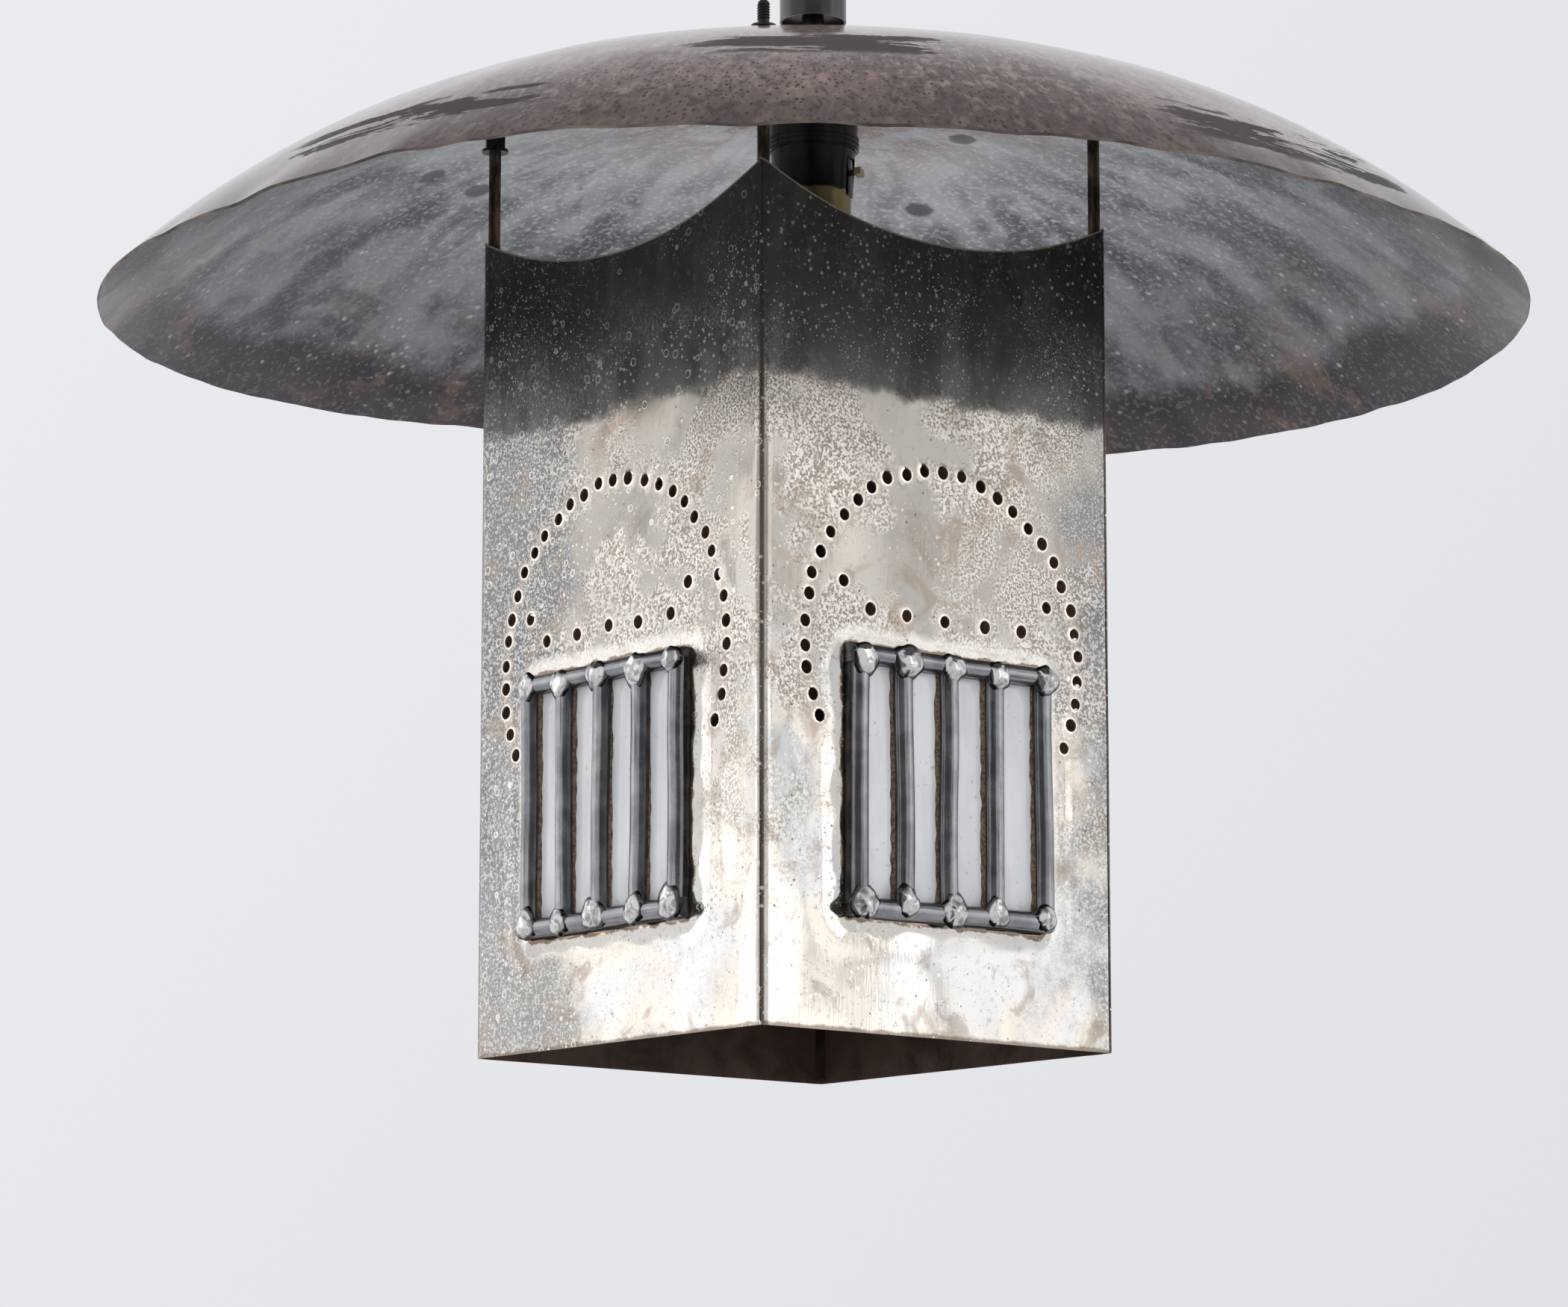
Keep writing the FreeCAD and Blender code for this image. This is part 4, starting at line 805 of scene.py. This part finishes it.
def panel_relief(face, points, holes, seed):
    """How far the sheet stands out of its plane at each point: swells, the raised lip and the burrs."""
    across, level = points[:, 0], points[:, 2]
    flat = points * (1, 0, 1)
    out = sum(ripple(flat, wave, seed + start) * height for wave, height, start in SHEET_SWELLS)
    side = BODY_HALF - np.abs(across)
    # The sheet is flat where it meets the next one, and bent in a little at the very corner
    out *= np.clip(side / (14 * MM), 0, 1)
    out -= np.clip(1 - side / (3.2 * MM), 0, 1) ** 2 * 1.1 * MM
    distance = opening_distance(face, across, level)
    wander = ripple(flat, 13 * MM, seed + 9)
    lip = np.exp(-(np.clip(distance, 0, 1) / ((3.2 + 1.2 * wander) * MM)) ** 2)
    out += lip * (0.9 + 0.7 * wander) * MM
    out -= np.exp(-((distance - 11 * MM) / (4.5 * MM)) ** 2) * 0.35 * MM
    for hole_across, hole_level, radius in holes:
        away = np.hypot(across - hole_across, level - hole_level) - radius
        out += np.exp(-(away / (0.9 * MM)) ** 2) * 0.22 * MM
    return out


def note_distances(mesh, face, points, holes):
    """Writes how far each point lies from the window, a hole, an upright edge and the top edge, 1 at its reach."""
    across, level = points[:, 0], points[:, 2]
    punch = np.full(len(points), 1.0)
    for hole_across, hole_level, radius in holes:
        punch = np.minimum(punch, (np.hypot(across - hole_across, level - hole_level) - radius) / PUNCH_REACH)
    distances = {
        "window": opening_distance(face, across, level) / WEAR_AND_HIGHLIGHT_REACH,
        "punch": punch,
        "side": (BODY_HALF - np.abs(across)) / WEAR_AND_HIGHLIGHT_REACH,
        "crest": (np.hypot(across, level - SCALLOP_LEVEL) - SCALLOP_RADIUS) / WEAR_AND_HIGHLIGHT_REACH,
    }
    for name, values in distances.items():
        values = np.clip(values, 0, 1).astype(np.float32)
        mesh.attributes.new(name, "FLOAT", "POINT").data.foreach_set("value", values)


def make_panel(face):
    rng = random.Random(FACES[face] + 11)
    holes = punched_holes(face, rng)
    mesh = cut_out(panel_blank(), panel_cutter(face, holes))
    mesh.materials.clear()
    points = read_rows(mesh.vertices, "co")
    note_distances(mesh, face, points, holes)
    points[:, 1] -= panel_relief(face, points, holes, FACES[face] * 3.0 + 1.0)
    mesh.vertices.foreach_set("co", points.ravel())
    mesh.update()
    facing = read_rows(mesh.polygons, "normal")[:, 1]
    at_seam = np.abs(read_rows(mesh.polygons, "center")[:, 0]) > BODY_HALF - 1.5 * MM
    kinds = np.where(facing < -0.5, 0, np.where(facing > 0.5, 1, np.where(at_seam, 0, 2)))
    mesh.polygons.foreach_set("material_index", kinds.astype(np.int32))
    mesh.transform(face_turn(face))
    dressing = [tinned, copper_inside, sheet_edge]
    finish_piece(mesh, "punched_panel_" + face, dressing, "body_panel_" + face, 35)


for face_name in FACES:
    make_panel(face_name)


# The windows

BARS = 5
BAR_WIDTH = 9 * MM
RAIL_CROWN = 3.6 * MM
BAR_CROWN = 4.1 * MM
PITCH = (2 * WINDOW_HALF - BAR_WIDTH) / (BARS - 1)
# How far each bar was set off its place, in millimetres
BAR_DRIFT = {
    "front": (-0.4, -0.9, -1.4, -1.4, 1.4),
    "left": (0.9, -0.4, -0.9, -0.3, 0.1),
    "right": (0.3, 0.8, -0.6, 0.9, -0.4),
    "back": (-0.5, 0.7, 1.0, -0.8, 0.2),
}
CAME_STEPS = 60
CROWN_STEPS = 22
PANE_EDGE = 0.3 * MM
CEMENT_STEPS = 70


def came_section(bm, width, crown, rng):
    """The front of a came in the XY plane: upright flanks, then a round front with drawn lines."""
    half = width / 2
    shoulder = CAME_FRONT - crown
    outline = [Vector((-half, CAME_BACK, 0)), Vector((-half, shoulder, 0))]
    radius = (half ** 2 + crown ** 2) / (2 * crown)
    sweep = math.asin(min(half / radius, 1)) if crown < half else math.pi / 2
    for number in range(1, CROWN_STEPS):
        angle = sweep * (2 * number / CROWN_STEPS - 1)
        reach = radius + rng.uniform(-0.10, 0.06) * MM
        outline.append(Vector((reach * math.sin(angle), CAME_FRONT - radius + reach * math.cos(angle), 0)))
    outline += [Vector((half, shoulder, 0)), Vector((half, CAME_BACK, 0))]
    return bm.faces.new([bm.verts.new(point) for point in outline])


def came(width, crown, length, rng, seed):
    """A came along Z from 0 to its length, bent and uneven as drawn lead is, its front towards +Y."""
    bm = bmesh.new()
    face = came_section(bm, width, crown, rng)
    made = bmesh.ops.extrude_face_region(bm, geom=[face])
    moved = [item for item in made["geom"] if isinstance(item, bmesh.types.BMVert)]
    bmesh.ops.translate(bm, vec=(0, 0, length), verts=moved)
    long_edges = [edge for edge in bm.edges if abs(edge.verts[0].co.z - edge.verts[1].co.z) > length / 2]
    bmesh.ops.subdivide_edges(bm, edges=long_edges, cuts=CAME_STEPS)
    face_outwards(bm)
    for vert in bm.verts:
        spot = vert.co.copy()
        swell = 1 + 0.02 * waver(seed + 4, 1.7, spot.z, 25 * MM)
        front = max(spot.y - CAME_FRONT + crown, 0) / crown
        vert.co.x = spot.x * swell + waver(seed, 0.3, spot.z, 55 * MM) * 0.9 * MM
        vert.co.y = spot.y + front * waver(seed + 8, 2.9, spot.z, 30 * MM) * 0.3 * MM
    for face in bm.faces:
        on_flank = face.calc_center_median().y < CAME_FRONT - crown * 0.9
        face.material_index = 1 if on_flank else 0
    return bm


def stand_on_face(bm, face, across, level, turn=0.0):
    """Sets a piece made with its front towards +Y on a face, turned in the face's plane."""
    spin = Matrix.Rotation(turn, 4, "Y") @ Matrix.Diagonal((-1, -1, 1, 1))
    lift = Matrix.Translation((across, -BODY_HALF, level))
    bm.transform(face_turn(face) @ lift @ spin)


def join_into(target, source):
    """Adds one bmesh to another."""
    mesh = as_mesh(source)
    target.from_mesh(mesh)
    bpy.data.meshes.remove(mesh)


def bar_place(face, number):
    return WINDOW_SHIFT[face] + (number - BARS // 2) * PITCH + BAR_DRIFT[face][number] * MM


def make_bars(face, rng):
    whole = bmesh.new()
    for number in range(BARS):
        length = 2 * (WINDOW_RISE - RAIL) + RAIL * 0.9
        bm = came(BAR_WIDTH, BAR_CROWN, length, rng, FACES[face] * 10 + number)
        stand_on_face(bm, face, bar_place(face, number), WINDOW_LEVEL - length / 2, rng.uniform(-0.008, 0.008))
        join_into(whole, bm)
    finish_piece(as_mesh(whole), "lead_bars_" + face, [lead, lead_flank], "came_bars_" + face, 50)


def make_rail(face, side, rng):
    """The top rail for side 1, the bottom rail for side -1."""
    name = "_%s_rail_%s" % ("top" if side > 0 else "bottom", face)
    length = 2 * WINDOW_HALF
    bm = came(RAIL, RAIL_CROWN, length, rng, FACES[face] * 10 + 5 + side)
    level = WINDOW_LEVEL + side * (WINDOW_RISE - RAIL / 2)
    stand_on_face(bm, face, WINDOW_SHIFT[face] - length / 2, level, math.pi / 2)
    finish_piece(as_mesh(bm), "lead" + name, [lead_rail, lead_flank], "came" + name, 50)


def solder_blob(rng, seed, end):
    """A puddle of solder that has run over a joint, with lobes along the rail and down the bar. Front towards +Y."""
    bm = bmesh.new()
    bmesh.ops.create_icosphere(bm, subdivisions=5, radius=1.0)
    crown_layer = bm.verts.layers.float.new("crown")
    size = rng.uniform(5.2, 6.8) * MM
    height = rng.uniform(2.1, 2.9) * MM
    lobes = [
        (rng.uniform(-0.25, 0.25), rng.uniform(0.1, 0.5)),
        (math.pi + rng.uniform(-0.25, 0.25), rng.uniform(0.1, 0.5)),
        (-end * math.pi / 2 + rng.uniform(-0.2, 0.2), rng.uniform(0.3, 0.9)),
    ]
    for vert in bm.verts:
        ball = vert.co.copy()
        vert[crown_layer] = max(ball.y, 0.0)
        angle = math.atan2(ball.z, ball.x)
        flat = math.hypot(ball.x, ball.z)
        reach = 0.98 + 0.17 * noise.noise(Vector((math.cos(angle) * 1.7, math.sin(angle) * 1.7, seed)))
        for lobe_angle, gain in lobes:
            reach += gain * 0.8 * max(math.cos(angle - lobe_angle), 0) ** 4 * flat
        lump = 0.35 * noise.noise(ball * 1.1 + Vector((seed, 0, 0)))
        lump += 0.05 * noise.noise(ball * 2.6 + Vector((0, seed, 0)))
        crown = ball.y * (1 + lump) * (1.15 - 0.3 * flat * flat)
        vert.co = Vector((ball.x * size * reach, crown * height, ball.z * size * reach))
    return bm


def make_solder(face, rng):
    whole = bmesh.new()
    # The joints at the ends of a rail lie a little further in
    inset = {0: 1.2 * MM, BARS - 1: -1.2 * MM}
    for end in (-1, 1):
        for number in range(BARS):
            bm = solder_blob(rng, FACES[face] * 20 + number + (10 if end > 0 else 0) + 0.5, end)
            across = bar_place(face, number) + rng.uniform(-0.8, 0.8) * MM + inset.get(number, 0)
            level = WINDOW_LEVEL + end * (WINDOW_RISE - RAIL * 0.62 + rng.uniform(-1.0, 1.0) * MM)
            bm.transform(Matrix.Translation((0, CAME_FRONT - 1.3 * MM, 0)))
            stand_on_face(bm, face, across, level)
            join_into(whole, bm)
    face_outwards(whole)
    finish_piece(as_mesh(whole), "solder_blobs_" + face, [solder], "solder_joints_" + face, 60)


def make_glass(face):
    """Four panes between the bars, their edges softened."""
    whole = bmesh.new()
    for number in range(BARS - 1):
        left = bar_place(face, number) + 1.2 * MM
        right = bar_place(face, number + 1) - 1.2 * MM
        bm = bmesh.new()
        block(
            bm,
            (left, -GLASS_FRONT - BODY_HALF, WINDOW_LEVEL - WINDOW_RISE + RAIL / 2),
            (right, -GLASS_BACK - BODY_HALF, WINDOW_LEVEL + WINDOW_RISE - RAIL / 2),
        )
        bmesh.ops.bevel(bm, geom=bm.edges[:], offset=PANE_EDGE, segments=2, profile=0.5, affect="EDGES", material=-1)
        bm.transform(face_turn(face))
        join_into(whole, bm)
    finish_piece(as_mesh(whole), "opal_panes_" + face, [opal], "glass_strips_" + face)


def make_cement(face):
    """A ragged fillet of cement between each pane and the bars beside it."""
    whole = bmesh.new()
    low = WINDOW_LEVEL - WINDOW_RISE + RAIL
    high = WINDOW_LEVEL + WINDOW_RISE - RAIL
    pane = -GLASS_FRONT - BODY_HALF
    for number in range(BARS - 1):
        for side, bar in ((1, number), (-1, number + 1)):
            bm = bmesh.new()
            edge = bar_place(face, bar) + side * (BAR_WIDTH / 2 - 0.4 * MM)
            far = edge + side * 1.7 * MM
            block(bm, (min(edge, far), pane - 1.1 * MM, low), (max(edge, far), pane + 0.2 * MM, high))
            long_edges = [item for item in bm.edges if abs(item.verts[0].co.z - item.verts[1].co.z) > MM]
            bmesh.ops.subdivide_edges(bm, edges=long_edges, cuts=CEMENT_STEPS)
            for vert in bm.verts:
                if abs(vert.co.x - far) < abs(vert.co.x - edge):
                    vert.co.x += side * waver(number * 3.1 + side, 0.4, vert.co.z, 5 * MM) * 0.9 * MM
                    if vert.co.y < pane - 0.5 * MM:
                        vert.co.y += 0.9 * MM
            face_outwards(bm)
            bm.transform(face_turn(face))
            join_into(whole, bm)
    finish_piece(
        as_mesh(whole), "cement_fillets_" + face, [cement], "glazing_cement_" + face, 60,
    )


for face_name in FACES:
    window_rng = random.Random(FACES[face_name] + 41)
    make_bars(face_name, window_rng)
    make_rail(face_name, 1, window_rng)
    make_rail(face_name, -1, window_rng)
    make_solder(face_name, window_rng)
    make_glass(face_name)
    make_cement(face_name)


# The rods: their thread stands above the shade

STUD_RADIUS = 2.4 * MM
THREAD_PITCH = 1.15 * MM
THREAD_DEPTH = 0.32 * MM
THREAD_ROOT = STUD_RADIUS - 0.1 * MM
THREAD_STEPS = 20
RODS = ["corner_rod_%d" % number for number in range(1, 5)]


def make_threads():
    """A ridge that winds up each stud, from its retainer to just under its tip."""
    whole = bmesh.new()
    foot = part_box("rod_retainers")[1].z
    for rod in RODS:
        low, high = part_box(rod)
        turns = int((high.z - foot - THREAD_PITCH) / THREAD_PITCH)
        base = Vector(((low.x + high.x) / 2, (low.y + high.y) / 2, foot))
        bm = bmesh.new()
        corners = [(THREAD_ROOT, -0.45), (STUD_RADIUS + THREAD_DEPTH, 0.0), (THREAD_ROOT, 0.45)]
        bm.faces.new([bm.verts.new(base + Vector((reach, 0, THREAD_PITCH * rise))) for reach, rise in corners])
        bmesh.ops.spin(
            bm, geom=bm.verts[:] + bm.edges[:] + bm.faces[:], cent=base, axis=(0, 0, 1),
            dvec=(0, 0, THREAD_PITCH / THREAD_STEPS), angle=2 * math.pi * turns, steps=THREAD_STEPS * turns,
        )
        face_outwards(bm)
        join_into(whole, bm)
    finish_piece(as_mesh(whole), "stud_threads", [stud_metal], None, 30)


make_threads()

SEAMS = ["corner_solder_" + face_name for face_name in FACES]
# The pipe, its upper washer and locknut and the ring in the tube are painted dark for the shade inside the tube; the
# rod fittings are dark steel
DARKENED = ["stem_ring", "rod_washers", "rod_standoffs", "rod_retainers", "hang_pipe", "upper_washer", "upper_locknut"]
for names, metal in ((RODS, rod_metal), (SEAMS, seam), (DARKENED, dark_steel)):
    for name in names:
        nodes[name].data.materials[0] = metal


# The room: a pale floor, a pale surround and soft lamps

FLOOR_LEVEL = -1.9
FLOOR_HALF = 6.0


def set_up_sheet(bm, name, colour):
    """A plain dull sheet of the room."""
    mesh = as_mesh(bm)
    kit = Finish(name)
    kit.base = colour
    mesh.materials.append(kit.close(0.0, 0.9))
    sheet = add_object(name, mesh)
    return sheet


def make_floor():
    bm = bmesh.new()
    bmesh.ops.create_circle(bm, cap_ends=True, radius=FLOOR_HALF, segments=96)
    bm.transform(Matrix.Translation((0, 0, FLOOR_LEVEL)))
    set_up_sheet(bm, "floor", (0.80, 0.805, 0.82))


def make_world():
    """A pale surround with a dark ceiling for the camera and for reflections, and a plain level of light for the
    rest."""
    world = bpy.data.worlds.new("surround")
    scene.world = world
    world.use_nodes = True
    world.node_tree.nodes.clear()
    kit = Nodes(world.node_tree)
    path = kit.add("LightPath").outputs
    seen = kit.calc("MAXIMUM", path["Is Camera Ray"], path["Is Glossy Ray"])
    seen = kit.calc("MAXIMUM", seen, path["Is Transmission Ray"])
    way = kit.add("TexCoord").outputs["Generated"]

    # The wall behind the lamp is paler to the left and greyer low down, and the ceiling is above what the camera sees
    lean = kit.vector("DOT_PRODUCT", way, aside * 0.6 - above * 0.5, "Value")
    wall = kit.mix(kit.span(lean, -0.25, 0.15, smooth=False), (0.86, 0.865, 0.90), (0.75, 0.757, 0.79))
    height = kit.add("SeparateXYZ", {0: way}).outputs["Z"]
    wall = kit.blend(height, 0.50, 0.85, wall, (0.20, 0.20, 0.21))
    shown = kit.add("Background", {"Color": wall}).outputs[0]
    light = kit.add("Background", {"Color": (0.80, 0.81, 0.84), "Strength": 0.95}).outputs[0]
    either = kit.add("MixShader", {0: seen, 1: light, 2: shown}).outputs[0]
    kit.add("OutputWorld", {0: either})


def make_lamp(name, place, target, size, glow):
    """A soft rectangular lamp. A glow of 1 shows as white in a mirror."""
    data = bpy.data.lights.new(name, "AREA")
    data.shape = "RECTANGLE"
    data.size, data.size_y = size
    data.energy = glow * math.pi * size[0] * size[1]
    facing = (target - place).to_track_quat("-Z", "Y")
    add_object(name, data).matrix_world = Matrix.Translation(place) @ facing.to_matrix().to_4x4()


def make_dark_card(name, place, target, size, grey):
    """A dark card that is seen only in reflections. It gives bright metal its dark side."""
    bm = bmesh.new()
    facing = (target - place).to_track_quat("Z", "Y")
    bmesh.ops.create_grid(bm, x_segments=1, y_segments=1, size=0.5)
    bmesh.ops.scale(bm, vec=(*size, 1), verts=bm.verts)
    bm.transform(Matrix.Translation(place) @ facing.to_matrix().to_4x4())
    card = set_up_sheet(bm, name, (grey, grey, grey))
    card.visible_camera = False
    card.visible_diffuse = False
    card.visible_shadow = False


make_floor()
make_world()

# Each face mirrors a softbox on its outer part, a brighter strip beside the near corner, and the surround at its foot
UP = Vector((0, 0, 1))
LAMP_RISE = 0.65
SOFTBOX = ((1.5, 1.5), 0.50)
STRIP = ((0.6, 1.7), 0.98)
inward = Vector((0.854, 0.52, 0))
to_left = heading * 0.9 - aside * 2.6
for name, side, shift, (size, glow) in (
    ("left_softbox", to_left, 0.32, SOFTBOX),
    ("left_strip", to_left, -0.80, STRIP),
    ("right_softbox", -to_left, 1.14, SOFTBOX),
    ("right_strip", -to_left, 0.02, STRIP),
):
    target = BODY_CENTRE + inward * shift + UP * LAMP_RISE
    make_lamp(name, target + side, target, size, glow)
make_lamp("top_softbox", BODY_CENTRE - heading * 0.6 + UP * 2.4, BODY_CENTRE, (2.2, 2.2), 0.9)
make_dark_card("dark_card", BODY_CENTRE - heading * 3.0 - UP * 0.2, BODY_CENTRE, (3.4, 3.2), 0.13)
ground = BODY_CENTRE - heading * 1.1
ground.z = FLOOR_LEVEL + 0.02
make_dark_card("dark_ground", ground, ground + UP, (3.0, 2.8), 0.02)
